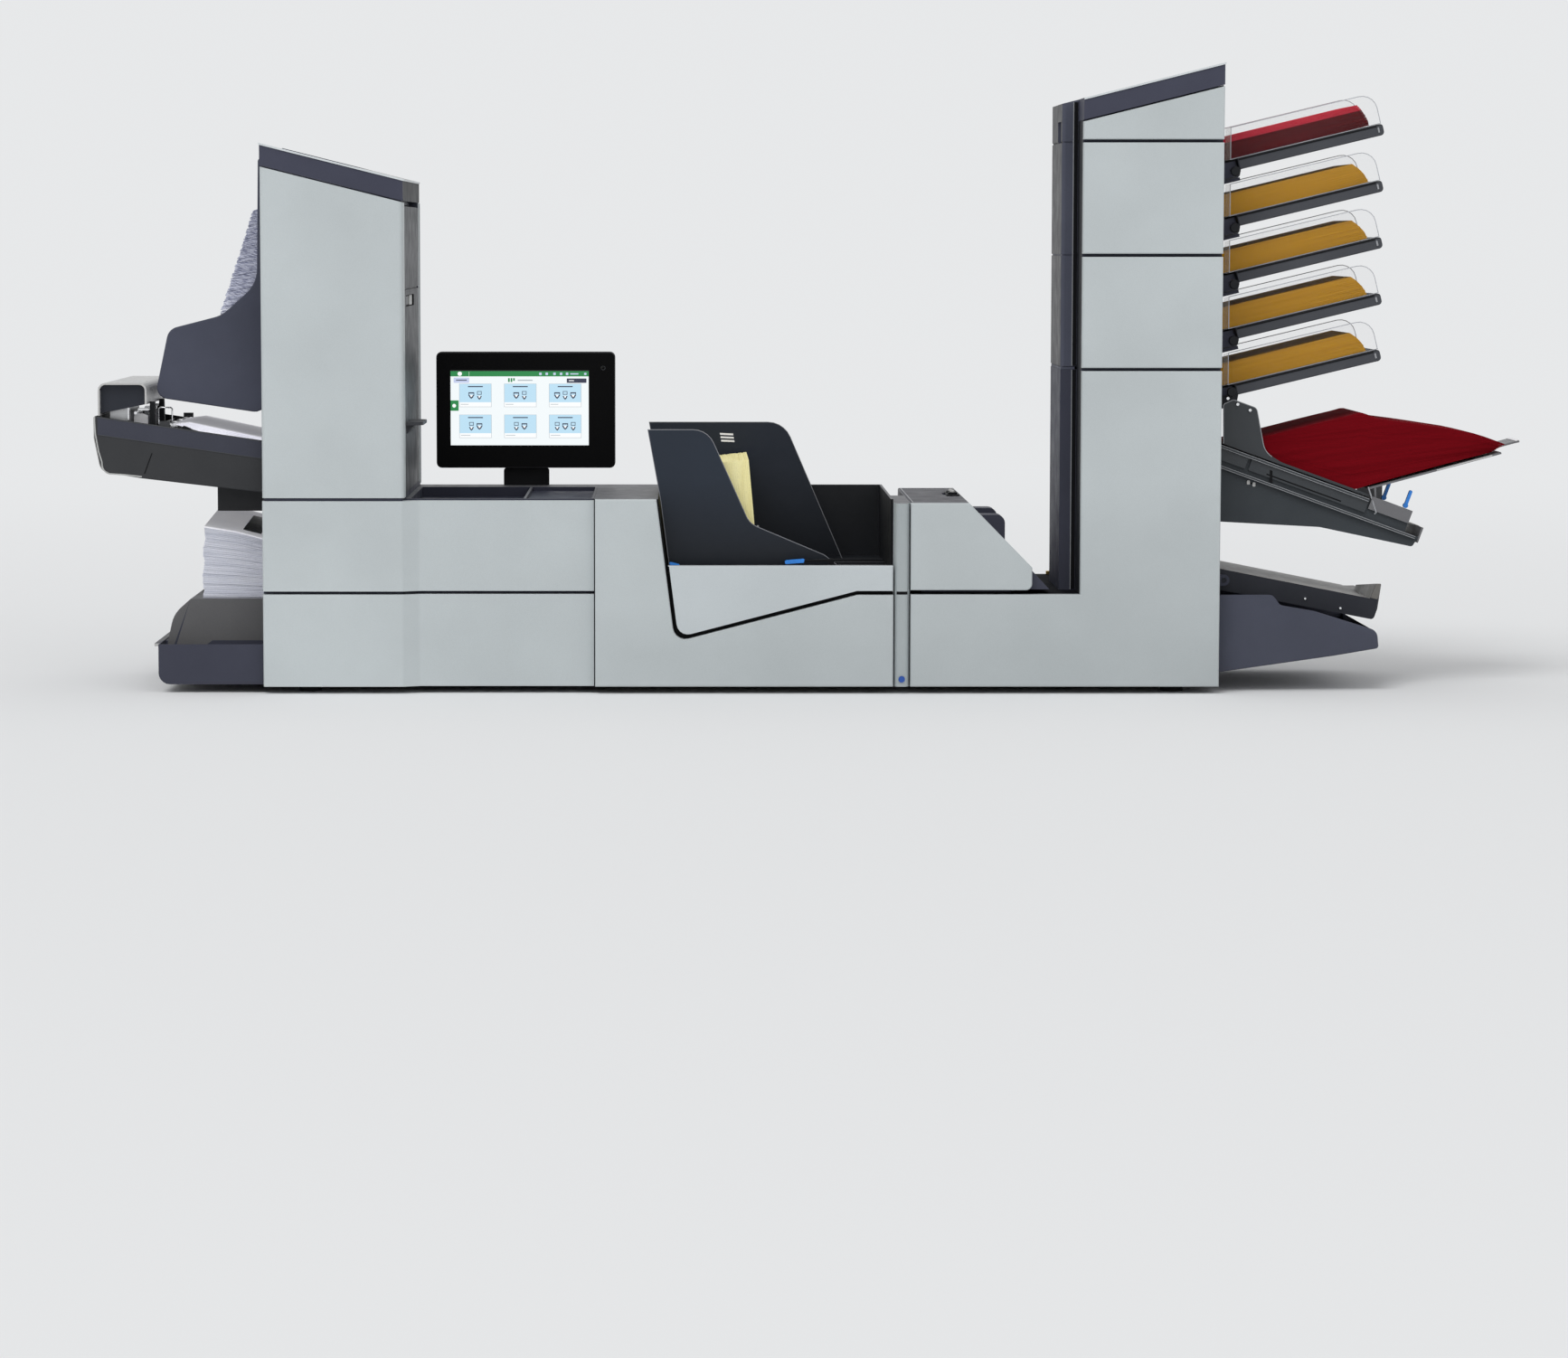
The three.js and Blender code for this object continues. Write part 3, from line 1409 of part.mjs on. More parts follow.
function exitUnit() {
  const left = -exitReach;
  const w = exitShell;
  const back = exitFront + exitDepth;
  const root = exitHigh - exitRootShare * exitThick;
  const outline = [
    [-seat, root],
    [-seat, exitTop(-seat)],
    [left, exitTop(left), w],
    ...exitEndShares.map(([a, b, r]) => [left + a * exitThick, exitHigh - b * exitThick, r * exitThick]),
  ];
  const body = runY(outline, exitFront, back, panelBevel);
  const deck = insetOutline(outline, [0, exitSink, 0, 0, 0, 0]);
  const bedLine = [
    [-seat, exitTop(0) + overrun],
    [-seat, exitTop(0) - exitSink],
    [deck[2][0] + w, deck[2][1]],
    [deck[2][0] + w, exitTop(left) + overrun],
  ];
  const open = runY(bedLine, exitFront + w, back - w);
  const arm = block(
    -exitArm.long, exitArm.front, exitArm.low,
    -seat, exitArm.front + exitArm.deep, root + 2 * w,
  );
  const cheeks = [exitFront + w / 2, back - w - exitRoller.cheek].map((y) =>
    cut(
      block(
        -exitRoller.along - exitRoller.shaft * 2, y, exitTop(-exitRoller.along) - exitSink - w,
        -exitRoller.along + exitRoller.shaft * 2, y + w / 2 + exitRoller.cheek,
        exitTop(-exitRoller.along) + exitRoller.above + exitRoller.shaft,
      ),
      barY(-exitRoller.along, rollerAxisZ, exitRoller.shaft, y - overrun, y + overrun),
    ),
  );
  // Flat pads on the side walls that the hood's hinged edge stands on.
  const pads = [exitFront + panelBevel, back - w].map((y) =>
    block(
      -hood.left - w, y, exitTop(-hood.left) - w,
      -hood.left + 2 * w, y + w - panelBevel, exitHigh,
    ),
  );
  return join(cut(body, open), arm, ...cheeks, ...pads);
}

const rollerAxisZ = exitTop(-exitRoller.along) - exitSink + exitRoller.wheel + seat;

function exitRollerPiece() {
  const x = -exitRoller.along;
  const { wheel, wheelWide, wheels, shaft, cheek } = exitRoller;
  const front = exitFront + exitShell / 2 + seat;
  const back = exitFront + exitDepth - exitShell - seat;
  const room = exitDepth - 4 * exitShell - 2 * cheek;
  const pitch = room / wheels;
  const discs = Array.from({ length: wheels }, (_, i) => {
    const y = exitFront + 2 * exitShell + cheek + (i + 0.5) * pitch;
    return barY(x, rollerAxisZ, wheel, y - wheelWide / 2, y + wheelWide / 2, 24);
  });
  return join(barY(x, rollerAxisZ, shaft - seat, front + shaft, back - shaft, 16), ...discs);
}

// The hood over the exit's end: an arch with a recessed end web.
function exitHood() {
  const foot = exitHigh + seat;
  const w = exitShell;
  const arch = [
    [-hood.left, foot],
    [-hood.left, hood.top, hood.round],
    [-hood.right, hood.top, hood.round],
    [-hood.right, hood.leg],
    [-hood.right - w, hood.leg],
    [-hood.right - w, hood.top - w, hood.round - w],
    [-hood.left + w, hood.top - w, hood.round - w],
    [-hood.left + w, foot],
  ];
  const back = exitFront + hood.back;
  const web = [
    [-hood.left + w / 2, foot + w],
    [-hood.left + w / 2, hood.top - w / 2, hood.round - w],
    [-hood.right - w / 2, hood.top - w / 2, hood.round - w],
    [-hood.right - w / 2, hood.leg],
  ];
  return join(
    runY(arch, exitFront, back),
    runY(web, exitFront + hood.webIn, exitFront + hood.webIn + w),
    runY(web, back - hood.webIn, back - w),
  );
}

function stackerTray() {
  const left = -stackerReach;
  const w = stackerWall;
  const back = stackerFront + stackerDepth;
  const box = [
    [-seat, stackerLow],
    [left, stackerLow, stackerRound],
    [left, stackerHigh],
    [-seat, stackerHigh],
  ];
  const hump = [
    [-seat, stackerHigh - 2 * w],
    [left + platformSide.foot, stackerHigh - 2 * w],
    [left + platformSide.shoulder, platformHigh - platformSide.down, platformSide.round],
    [left + platformSide.crown, platformHigh],
    [-seat, platformHigh],
  ];
  const lip = block(left - 2 * w, stackerFront, stackerHigh - w, left + w, back, stackerHigh + w / 2);
  const solid = join(runY(box, stackerFront, back), runY(hump, platformFront, back - 2 * w), lip);
  const tub = runY(insetOutline(box, [w, w, -overrun * 4, w]), stackerFront + w, platformFront);
  const underTub = runY(insetOutline(box, [-overrun, w, w, w]), platformFront + w, back - w);
  const underHump = runY(insetOutline(hump, [-overrun, w, w, w, w]), platformFront + w, back - 3 * w);
  return cut(solid, tub, underTub, underHump);
}

const dark = () => material(darkGrey, 0.55);
const light = () => material(lightGrey, 0.5);
const deep = () => material(black, 0.6);

add('left_frame', leftFrame(), dark());
add('centre_frame', centreFrame(), deep());
add('right_frame', rightFrame(), dark());
[footInset.x, rightEnd - footInset.x].forEach((x, i) => {
  [footInset.y, bodyDepth - footInset.y].forEach((y, j) => {
    add(`foot_${2 * i + j + 1}`, barZ(x, y, footRadius, 0, footHeight - seat, 20), material(rubber, 0.9));
  });
});

add('left_tower_cover', leftTowerCover(), light());
add('left_tower_cap', leftTowerCap(), dark());
add('left_tower_door', leftTowerDoor(), dark());
add('left_upper_panel', steppedPanel(seamHeight + seam / 2, deckHeight - seam / 2), light());
add('left_lower_panel', steppedPanel(footHeight, seamHeight - seam / 2), light());

add('screen_housing', screenHousing(), deep());
const glass = runY(displayOutline(seat), screenFront, screenFront + displayGlass - seat);
add('screen_glass', glass, material(blue, 0.15));
add('screen_neck', screenNeckPiece(), deep());

add('centre_panel', pan(centrePanelOutline, 0, panelDepth), light());
add('pocket_panel', pan(doorOutline, 0, panelDepth), light());
add('hopper_front_guide', hopperGuide(frontGuideShares, hopperFront, 1), deep());
add('hopper_rear_guide', hopperGuide(rearGuideShares, hopperFront + hopperWide, -1), deep());
add('hopper_lever_left', hopperLeverLeft(), material(blue, 0.4));
add('hopper_lever_right', hopperLeverRight(), material(blue, 0.4));

add('column_cover', columnCover(), light());
add('column_button', columnButton(), material(blue, 0.4));

add('fold_front_panel', pan(foldPanelOutline, 0, panelDepth), light());
add('fold_cover', foldCover(), dark());
rollerPlaces.forEach((place, i) => add(`fold_roller_${i + 1}`, foldRoller(place), material(rubber, 0.8)));

add('right_l_panel', pan(rightPanelOutline, 0, panelDepth), light());
add('tower_panel_lower', pan(towerPanelOutline(0), 0, panelDepth), light());
add('tower_panel_upper', pan(towerPanelOutline(1), 0, panelDepth), light());
add('tower_cap_panel', pan(capPanelOutline, 0, panelDepth), light());
add('right_tower_cap', rightTowerCap(), dark());
add('right_tower_door', rightTowerDoor(), dark());

for (let k = 0; k < trayCount; k++) {
  add(`tray_${k + 1}_base`, trayBase(k), dark());
  add(`tray_${k + 1}_front_guide`, trayGuide(k, false), clearPlastic());
  add(`tray_${k + 1}_rear_guide`, trayGuide(k, true), clearPlastic());
}

add('feeder_frame', feederFrame(), dark());
add('feeder_saddle', feederSaddle(), material(steel, 0.4, 0.6));
add('feeder_side_guide', feederSideGuide(), dark());
leverShares.forEach((place, i) => add(`feeder_lever_${i + 1}`, feederLever(place), material(blue, 0.4)));

add('delivery_housing', deliveryHousing(), dark());
add('delivery_deck', deliveryDeck(), deep());

add('sheet_bin', sheetBin(), dark());
add('exit_unit', exitUnit(), deep());
add('exit_roller', exitRollerPiece(), material(steel, 0.3, 0.8));
add('exit_hood', exitHood(), material(steel, 0.35, 0.5));
add('stacker_tray', stackerTray(), dark());

// The origin goes to the middle of the footprint at the feet's undersides.
const box = new THREE.Box3().setFromObject(machine);
const middle = box.getCenter(new THREE.Vector3());
machine.children.forEach((mesh) => mesh.geometry.translate(-middle.x, -middle.y, -box.min.z));

export default machine;
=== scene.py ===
"""Looks of the folder inserter: camera, light, finishes, loose paper and small trim."""

import random
from math import cos, pi, radians, sin, tan

import bmesh
import bpy
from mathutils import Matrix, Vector

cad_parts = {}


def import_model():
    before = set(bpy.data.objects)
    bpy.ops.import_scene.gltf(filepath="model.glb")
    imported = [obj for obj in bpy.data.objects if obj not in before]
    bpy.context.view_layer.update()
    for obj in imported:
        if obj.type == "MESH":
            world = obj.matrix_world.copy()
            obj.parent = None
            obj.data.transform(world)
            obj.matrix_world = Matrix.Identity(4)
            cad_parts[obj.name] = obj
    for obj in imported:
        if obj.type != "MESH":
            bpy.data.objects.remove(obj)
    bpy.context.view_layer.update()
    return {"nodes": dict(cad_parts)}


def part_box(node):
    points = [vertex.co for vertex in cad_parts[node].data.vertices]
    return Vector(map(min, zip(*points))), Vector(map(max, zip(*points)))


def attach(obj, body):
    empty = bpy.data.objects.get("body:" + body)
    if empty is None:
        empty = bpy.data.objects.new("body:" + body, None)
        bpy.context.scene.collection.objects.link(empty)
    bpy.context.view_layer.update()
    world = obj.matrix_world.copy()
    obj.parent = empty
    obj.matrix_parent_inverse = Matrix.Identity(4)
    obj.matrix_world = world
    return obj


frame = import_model()
NODES = frame["nodes"]
SCENE = bpy.context.scene
MM = 0.001

# The machine's own frame has its left tower's left face at X 0 and the front panels at Y 0.
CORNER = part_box("left_tower_cover")[0]


def at(x, y, z):
    """A place in the machine's own millimetres, in metres of the row frame."""
    return Vector((x * MM + CORNER.x, y * MM + CORNER.y, z * MM))


def own(point):
    """A place of the row frame in the machine's own millimetres."""
    return (point.x - CORNER.x) / MM, (point.y - CORNER.y) / MM, point.z / MM


# Sizes that the solids share
RIGHT_END = 1520.4
REAR_SKIN = 459
DECK_TOP = 309
HOPPER_FOOT = 195
TRAYS = range(1, 6)
TRAY_ANGLE = radians(13.5)
TRAY_TOP = 840.8
TRAY_PITCH = 90
TRAY_FRONT = 112
FEEDER_ANGLE = radians(20)
FEEDER_TOP = 396
RAIL_FACE = 104
GIRDER_FACE = 108
SUPPORT_ANGLE = radians(15)
DISPLAY_LEFT = 278.5
DISPLAY_TOP = 501.5
DISPLAY_FACE = 415


# Camera, light and floor
def camera():
    data = bpy.data.cameras.new("camera")
    data.sensor_width = 36
    data.lens = 106.86
    data.shift_x = 0.0646
    data.clip_end = 500
    eye = bpy.data.objects.new("camera", data)
    eye.location = (-0.2137, -7.6028, 0.724)
    eye.rotation_euler = (radians(84.573), 0, 0)
    SCENE.collection.objects.link(eye)
    SCENE.camera = eye


def lamp(name, angles, strength, spread):
    data = bpy.data.lights.new(name, "SUN")
    data.energy = strength
    data.angle = radians(spread)
    light = bpy.data.objects.new(name, data)
    light.rotation_euler = [radians(a) for a in angles]
    SCENE.collection.objects.link(light)


def add_node(tree, kind, inputs=None, **settings):
    """A node with its settings; each input is a value or the socket that feeds it."""
    made = tree.nodes.new(kind)
    for key, value in settings.items():
        setattr(made, key, value)
    for key, value in (inputs or {}).items():
        if isinstance(value, bpy.types.NodeSocket):
            tree.links.new(value, made.inputs[key])
        else:
            made.inputs[key].default_value = value
    return made


def emptied(owner):
    """The node tree of a world or material, with nothing in it."""
    owner.use_nodes = True
    owner.node_tree.nodes.clear()
    return owner.node_tree


BACKDROP = (0.80, 0.81, 0.82, 1)
FLOOR_TONE = (0.81, 0.82, 0.83, 1)


def world():
    """An even light, and a pale backdrop for the rays that see it."""
    SCENE.world = bpy.data.worlds.new("studio")
    tree = emptied(SCENE.world)
    path = add_node(tree, "ShaderNodeLightPath").outputs
    seen = path["Is Camera Ray"]
    for ray in ("Is Glossy Ray", "Is Transmission Ray"):
        either = add_node(tree, "ShaderNodeMath", {0: seen, 1: path[ray]}, operation="MAXIMUM")
        seen = either.outputs[0]
    light = add_node(tree, "ShaderNodeBackground", {"Color": (1, 1, 1, 1), "Strength": 0.64})
    pale = add_node(tree, "ShaderNodeBackground", {"Color": BACKDROP})
    mix = add_node(tree, "ShaderNodeMixShader", {0: seen, 1: light.outputs[0], 2: pale.outputs[0]})
    add_node(tree, "ShaderNodeOutputWorld", {0: mix.outputs[0]})


def floor():
    """A round pale floor that takes the shadow and runs into the backdrop's tone far out."""
    mesh = bpy.data.meshes.new("floor")
    build = bmesh.new()
    bmesh.ops.create_circle(build, cap_ends=True, radius=200, segments=64)
    build.to_mesh(mesh)
    build.free()
    ground = bpy.data.objects.new("floor", mesh)
    ground.location.z = -0.0005
    SCENE.collection.objects.link(ground)
    finish = bpy.data.materials.new("floor")
    tree = emptied(finish)
    place = add_node(tree, "ShaderNodeTexCoord").outputs["Object"]
    distance = add_node(tree, "ShaderNodeVectorMath", {0: place}, operation="LENGTH")
    fade = add_node(
        tree,
        "ShaderNodeMapRange",
        {"Value": distance.outputs["Value"], "From Min": 1.6, "From Max": 7.0},
        interpolation_type="SMOOTHSTEP",
    ).outputs[0]
    matt = add_node(tree, "ShaderNodeBsdfDiffuse", {"Color": FLOOR_TONE}).outputs[0]
    far = add_node(tree, "ShaderNodeEmission", {"Color": BACKDROP}).outputs[0]
    mix = add_node(tree, "ShaderNodeMixShader", {0: fade, 1: matt, 2: far})
    add_node(tree, "ShaderNodeOutputMaterial", {0: mix.outputs[0]})
    mesh.materials.append(finish)


camera()
SCENE.view_settings.view_transform = "Standard"
world()
floor()
lamp("key", (38, 0, -28), 1.05, 30)
lamp("fill", (76, 0, 25), 0.42, 50)


# Finishes
def tone(r, g, b):
    """An sRGB colour, 0 to 255, as linear."""
    return tuple(
        v / 255 / 12.92 if v < 10.3 else ((v / 255 + 0.055) / 1.055) ** 2.4
        for v in (r, g, b)
    ) + (1,)


class Finish:
    """A node material on the object's own coordinates, in metres."""

    def __init__(self, name, rgb, level=0.5, **sockets):
        self.base = tone(*rgb)
        self.material = bpy.data.materials.new(name)
        self.material.use_nodes = True
        self.tree = self.material.node_tree
        self.shader = self.tree.nodes["Principled BSDF"]
        self.shader.inputs["Specular IOR Level"].default_value = level
        for key, value in sockets.items():
            self.shader.inputs[key].default_value = value
        self.place = self.node("ShaderNodeTexCoord").outputs["Object"]

    def node(self, kind, inputs=None, **settings):
        return add_node(self.tree, kind, inputs, **settings)

    def feed(self, socket, name):
        self.tree.links.new(socket, self.shader.inputs[name])

    def stretched(self, scale, turn=0.0):
        """Coordinates turned about Y and then scaled by axis."""
        turned = self.node("ShaderNodeMapping", {"Vector": self.place, "Rotation": (0, turn, 0)})
        made = self.node("ShaderNodeMapping", {"Vector": turned.outputs[0], "Scale": scale})
        return made.outputs[0]

    def noise(self, scale, detail=2.0, where=None, distortion=0.0):
        inputs = {"Vector": where or self.place, "Scale": scale, "Detail": detail}
        inputs["Distortion"] = distortion
        return self.node("ShaderNodeTexNoise", inputs).outputs["Fac"]

    def ramp(self, factor, *stops):
        made = self.node("ShaderNodeValToRGB", {"Fac": factor})
        points = made.color_ramp.elements
        while len(points) < len(stops):
            points.new(0.5)
        for point, (position, colour) in zip(points, stops):
            point.position = position
            point.color = colour
        return made.outputs["Color"]

    def clouded(self, factor, low, high, last=0.7):
        """The base colour, from low to high times as light."""
        return self.ramp(factor, (0.3, shade(self.base, low)), (last, shade(self.base, high)))

    def times(self, a, b):
        """Two colours multiplied; 0, 6 and 7 are the mix node's factor and its two colours."""
        inputs = {0: 1.0, 6: a, 7: b}
        made = self.node("ShaderNodeMix", inputs, data_type="RGBA", blend_type="MULTIPLY")
        return made.outputs[2]

    def spread(self, value, low, high, first=0.3, last=0.7):
        inputs = {"Value": value, "From Min": first, "From Max": last}
        inputs |= {"To Min": low, "To Max": high}
        return self.node("ShaderNodeMapRange", inputs).outputs[0]

    def dimmed(self, start, end, most):
        """Painted shade: a grey that darkens with X from start to end, and most of all low down."""
        parts = self.node("ShaderNodeSeparateXYZ", {"Vector": self.place}).outputs
        right = self.spread(parts["X"], 0, 1, start, end)
        low = self.spread(parts["Z"], most, 0.03, 0.07, 0.34)
        both = self.node("ShaderNodeMath", {0: right, 1: low}, operation="MULTIPLY").outputs[0]
        return self.node("ShaderNodeMath", {0: 1.0, 1: both}, operation="SUBTRACT").outputs[0]

    def colour(self, socket):
        self.feed(socket, "Base Color")

    def rough(self, socket):
        self.feed(socket, "Roughness")

    def relief(self, height, depth):
        bump = self.node("ShaderNodeBump", {"Height": height, "Distance": depth, "Strength": 1.0})
        self.feed(bump.outputs[0], "Normal")

    def glow(self, socket, strength):
        self.feed(socket, "Emission Color")
        self.shader.inputs["Emission Strength"].default_value = strength


def shade(colour, by):
    return tuple(min(c * by, 1) for c in colour[:3]) + (1,)


def painted(name, rgb, rough=0.45, swing=0.05, level=0.35, dim=None):
    """Powder-coated sheet: a faint cloudiness and the orange peel of the paint; dim adds painted
    shade.
    """
    f = Finish(name, rgb, level)
    body = f.clouded(f.noise(5, 3), 1 - swing, 1 + swing)
    speck = f.ramp(f.noise(1400, 1), (0.35, (0.93, 0.93, 0.93, 1)), (0.6, (1, 1, 1, 1)))
    body = f.times(body, speck)
    if dim:
        body = f.times(body, f.dimmed(*dim))
    f.colour(body)
    f.rough(f.spread(f.noise(60, 2), rough - 0.05, rough + 0.07))
    f.relief(f.noise(700, 2), 0.00008)
    return f.material


def moulded(name, rgb, rough=0.55, level=0.22):
    """Moulded plastic: fine leather grain, slightly worn sheen."""
    f = Finish(name, rgb, level)
    body = f.clouded(f.noise(7, 4), 0.9, 1.1, 0.72)
    pores = f.node("ShaderNodeTexVoronoi", {"Vector": f.place, "Scale": 1100}).outputs["Distance"]
    pits = f.ramp(pores, (0.0, (1, 1, 1, 1)), (0.9, (0.86, 0.86, 0.88, 1)))
    f.colour(f.times(body, pits))
    f.rough(f.spread(f.noise(30, 3), rough - 0.08, rough + 0.08))
    f.relief(pores, 0.00006)
    return f.material


def metal(name, rgb, rough):
    """Drawn or ground metal with fine lines along X."""
    f = Finish(name, rgb, Metallic=1.0)
    lines = f.noise(1, 3, f.stretched((40, 900, 900)))
    f.colour(f.clouded(lines, 0.82, 1.05))
    f.rough(f.spread(lines, rough - 0.06, rough + 0.12))
    f.relief(lines, 0.00002)
    return f.material


def clear(name, rgb, alpha):
    """Clear acrylic with a light tint and faint rub marks."""
    f = Finish(name, rgb, Alpha=alpha)
    f.colour(f.clouded(f.noise(12, 3), 0.9, 1.08))
    f.rough(f.spread(f.noise(220, 4, f.stretched((1, 1, 6))), 0.08, 0.24))
    f.relief(f.noise(60, 2), 0.00003)
    return f.material


def rubber():
    f = Finish("rubber", (30, 31, 33), 0.2)
    f.colour(f.clouded(f.noise(90, 4), 0.75, 1.25))
    f.rough(f.spread(f.noise(300, 3), 0.75, 0.95))
    f.relief(f.noise(1500, 3), 0.0001)
    return f.material


def glossy(name, rgb, rough=0.3, level=0.4):
    """Smooth coloured plastic, as on grips and buttons."""
    f = Finish(name, rgb, level)
    f.colour(f.clouded(f.noise(140, 3), 0.92, 1.08))
    f.rough(f.spread(f.noise(400, 2), rough - 0.05, rough + 0.1))
    f.relief(f.noise(900, 2), 0.00003)
    return f.material


def paper(name, rgb, edge, tilt, fine, along=6, glow=0.0):
    """Sheets in a pile: streaks along the sheets' edges, and paper fibres on the faces.

    glow is painted light: it brightens sheets that lie in shade."""
    f = Finish(name, rgb, 0.01)
    streaks = f.noise(1, 4, f.stretched((along, 9, fine), tilt), 0.4)
    body = f.ramp(streaks, (0.32, tone(*edge)), (0.6, f.base))
    fibre = f.ramp(f.noise(500, 3), (0.3, (0.92, 0.92, 0.92, 1)), (0.65, (1, 1, 1, 1)))
    body = f.times(body, fibre)
    f.colour(body)
    if glow:
        f.glow(body, glow)
    f.rough(f.spread(streaks, 0.75, 0.95))
    f.relief(streaks, 0.00025)
    return f.material


def lit(name, rgb):
    """A field of the display: an even glow with the faint grid of its pixels."""
    f = Finish(name, rgb, Roughness=0.25)
    grid = f.node("ShaderNodeTexChecker", {"Vector": f.place, "Scale": 900.0}).outputs["Fac"]
    f.shader.inputs["Base Color"].default_value = (0.01, 0.01, 0.01, 1)
    f.glow(f.ramp(grid, (0.0, shade(f.base, 0.94)), (1.0, f.base)), 1.0)
    return f.material


# Where paint lies in the shade: from X to X, and the part of the light lost near the floor
RIGHTWARD = (CORNER.x + 0.15, CORNER.x + 1.15, 0.2)
AT_FOOT = (CORNER.x - 1, CORNER.x - 0.9, 1.25)

# PANEL and POCKET carry painted shade to the right and low down
PANEL = painted("panel_paint", (190, 197, 199), dim=RIGHTWARD)
POCKET = painted("pocket_paint", (197, 204, 207), dim=RIGHTWARD)
PANEL_EDGE = painted("panel_edge", (206, 211, 214), 0.4)
# Panel paint made darker for the column's rounded side and the rear edge: painted shade
PANEL_SHADE = painted("panel_paint_shade", (161, 168, 170))
BAND = moulded("band_plastic", (66, 68, 83))
DARK = moulded("dark_plastic", (62, 64, 77))
BIN = moulded("bin_plastic", (71, 74, 88))
DOOR_EDGE = moulded("door_plastic", (80, 83, 97))
GREY = moulded("grey_plastic", (73, 75, 79), 0.5)
# The right door's left face, lighter than its front: painted light
DOOR_SIDE_LIGHT = moulded("door_side_painted_light", (73, 73, 75), 0.5)
# Mid grey: painted shade on top faces, painted light on the fold lid's left face
MID = painted("mid_grey_shade_and_light", (98, 98, 102), 0.5)
# Pale lines: painted highlights along edges, and the colour of the tray clips and the support's
# wire leg
LINE = painted("highlight_and_pale_trim", (150, 152, 156), 0.4)
TOP_PLATE = painted("cap_plate", (172, 173, 172), 0.4)
# The fold lid's top, darker than its light rim: painted shade
FOLD_TOP_SHADE = moulded("fold_top_shade", (84, 84, 89))
DECK_IN = moulded("deck_recess", (46, 48, 62), 0.5)
BLACK = moulded("black_plastic", (26, 28, 32), 0.5)
DEEP = moulded("deep_black", (13, 14, 17), 0.5, level=0.12)
# The caps' right end face, darkened: painted shade
CAP_END = moulded("cap_end", (58, 59, 62), 0.6)
DOOR_GREY = moulded("door_grey", (66, 68, 72), 0.5)
# The floor beside the fold cover, near black: painted shade
FLOOR_SHADE = moulded("floor_painted_shade", (20, 21, 25), 0.75, level=0.03)
# The hopper sheets carry painted shade, darker towards the bottom
HOPPER = painted("hopper_front_sheet", (35, 43, 55), 0.38, 0.08, 0.25, AT_FOOT)
HOPPER_REAR = painted("hopper_rear_sheet", (32, 38, 49), 0.4, 0.1, 0.2, AT_FOOT)
# Light cut edges of the hopper plates and the feeder's side guide: painted highlight
HOPPER_EDGE_HIGHLIGHT = painted("hopper_edge_highlight", (120, 122, 128), 0.35)
BEZEL = glossy("screen_bezel", (6, 6, 7), 0.4, level=0.06)
BEZEL_EDGE = glossy("screen_edge", (52, 52, 55), 0.3)
BLUE = glossy("blue_grip", (44, 132, 224))
BLUE_DARK = glossy("blue_button", (34, 78, 160))
RUBBER = rubber()
CLEAR = clear("clear_guide", (150, 152, 158), 0.03)
# Lighter edges of the clear guides: painted highlight
CLEAR_EDGE_HIGHLIGHT = clear("clear_guide_edge_highlight", (182, 184, 190), 0.85)
CLEAR_RIB = clear("guide_rib", (150, 145, 138), 0.3)
TRAY = moulded("tray_plastic", (70, 72, 77))
RAIL = painted("feeder_rail", (88, 92, 95), 0.35)
GIRDER = painted("feeder_girder", (52, 56, 60), 0.4)
FEEDER = moulded("feeder_side", (58, 63, 67))
SADDLE = painted("saddle_sheet", (104, 104, 107), 0.4)
STEEL = metal("satin_steel", (196, 197, 199), 0.32)
CHROME = metal("bright_steel", (228, 229, 231), 0.14)
SILVER = painted("silver_shell", (186, 186, 185), 0.32)
HOOD_END = moulded("hood_end", (42, 45, 53), 0.5)
EXIT_UP = moulded("exit_band", (62, 64, 75))
EXIT_LOW = moulded("exit_shell", (56, 57, 59))
HUMP = moulded("stacker_hump", (100, 100, 101))
HOUSING = moulded("delivery_housing", (70, 73, 86))
DELIVERY_TOP = painted("delivery_top", (150, 148, 146), 0.45)
DELIVERY_SIDE = moulded("delivery_side", (40, 42, 49))
WING = painted("delivery_wing", (104, 102, 99), 0.45)
GLASS = glossy("display_glass", (6, 7, 9), 0.1)
YELLOW = paper("envelope_paper", (252, 244, 186), (246, 236, 172), radians(86), 200)
WHITE = paper("white_paper", (216, 219, 236), (120, 124, 154), radians(-12), 700, 110)
PILE = paper("white_envelopes", (228, 230, 240), (208, 211, 224), radians(-4), 120)
SHEET = paper("loose_sheet", (250, 250, 252), (240, 240, 244), radians(10), 30)
# Loose sheets that lie in shade glow a little: painted light
PAINTED_LIGHT_SHEET = paper("sheet_painted_light", (236, 236, 240), (226, 226, 232), radians(10), 30, glow=0.3)
OCHRE = paper("ochre_paper", (199, 147, 36), (187, 135, 30), TRAY_ANGLE, 420)
# The ochre piles' top sheets: a slightly darker copy, painted shade from the tray above
OCHRE_TOP = paper("ochre_top_sheets", (196, 144, 42), (172, 120, 30), TRAY_ANGLE, 420)
RED = paper("red_paper", (94, 5, 8), (72, 3, 5), TRAY_ANGLE, 420)
# The red pile's top sheets: a much lighter copy, painted highlight
RED_HIGHLIGHT = paper("red_highlight_sheet", (206, 48, 66), (180, 36, 52), TRAY_ANGLE, 40)
# The fanned pile's top sheet: a slightly lighter copy, painted light
CRIMSON_TOP = paper("crimson_sheet", (116, 16, 25), (108, 14, 22), radians(8), 40)
CRIMSON = paper("crimson_paper", (115, 14, 23), (105, 12, 20), radians(8), 160)
BRASS = metal("brass_strip", (176, 150, 90), 0.35)

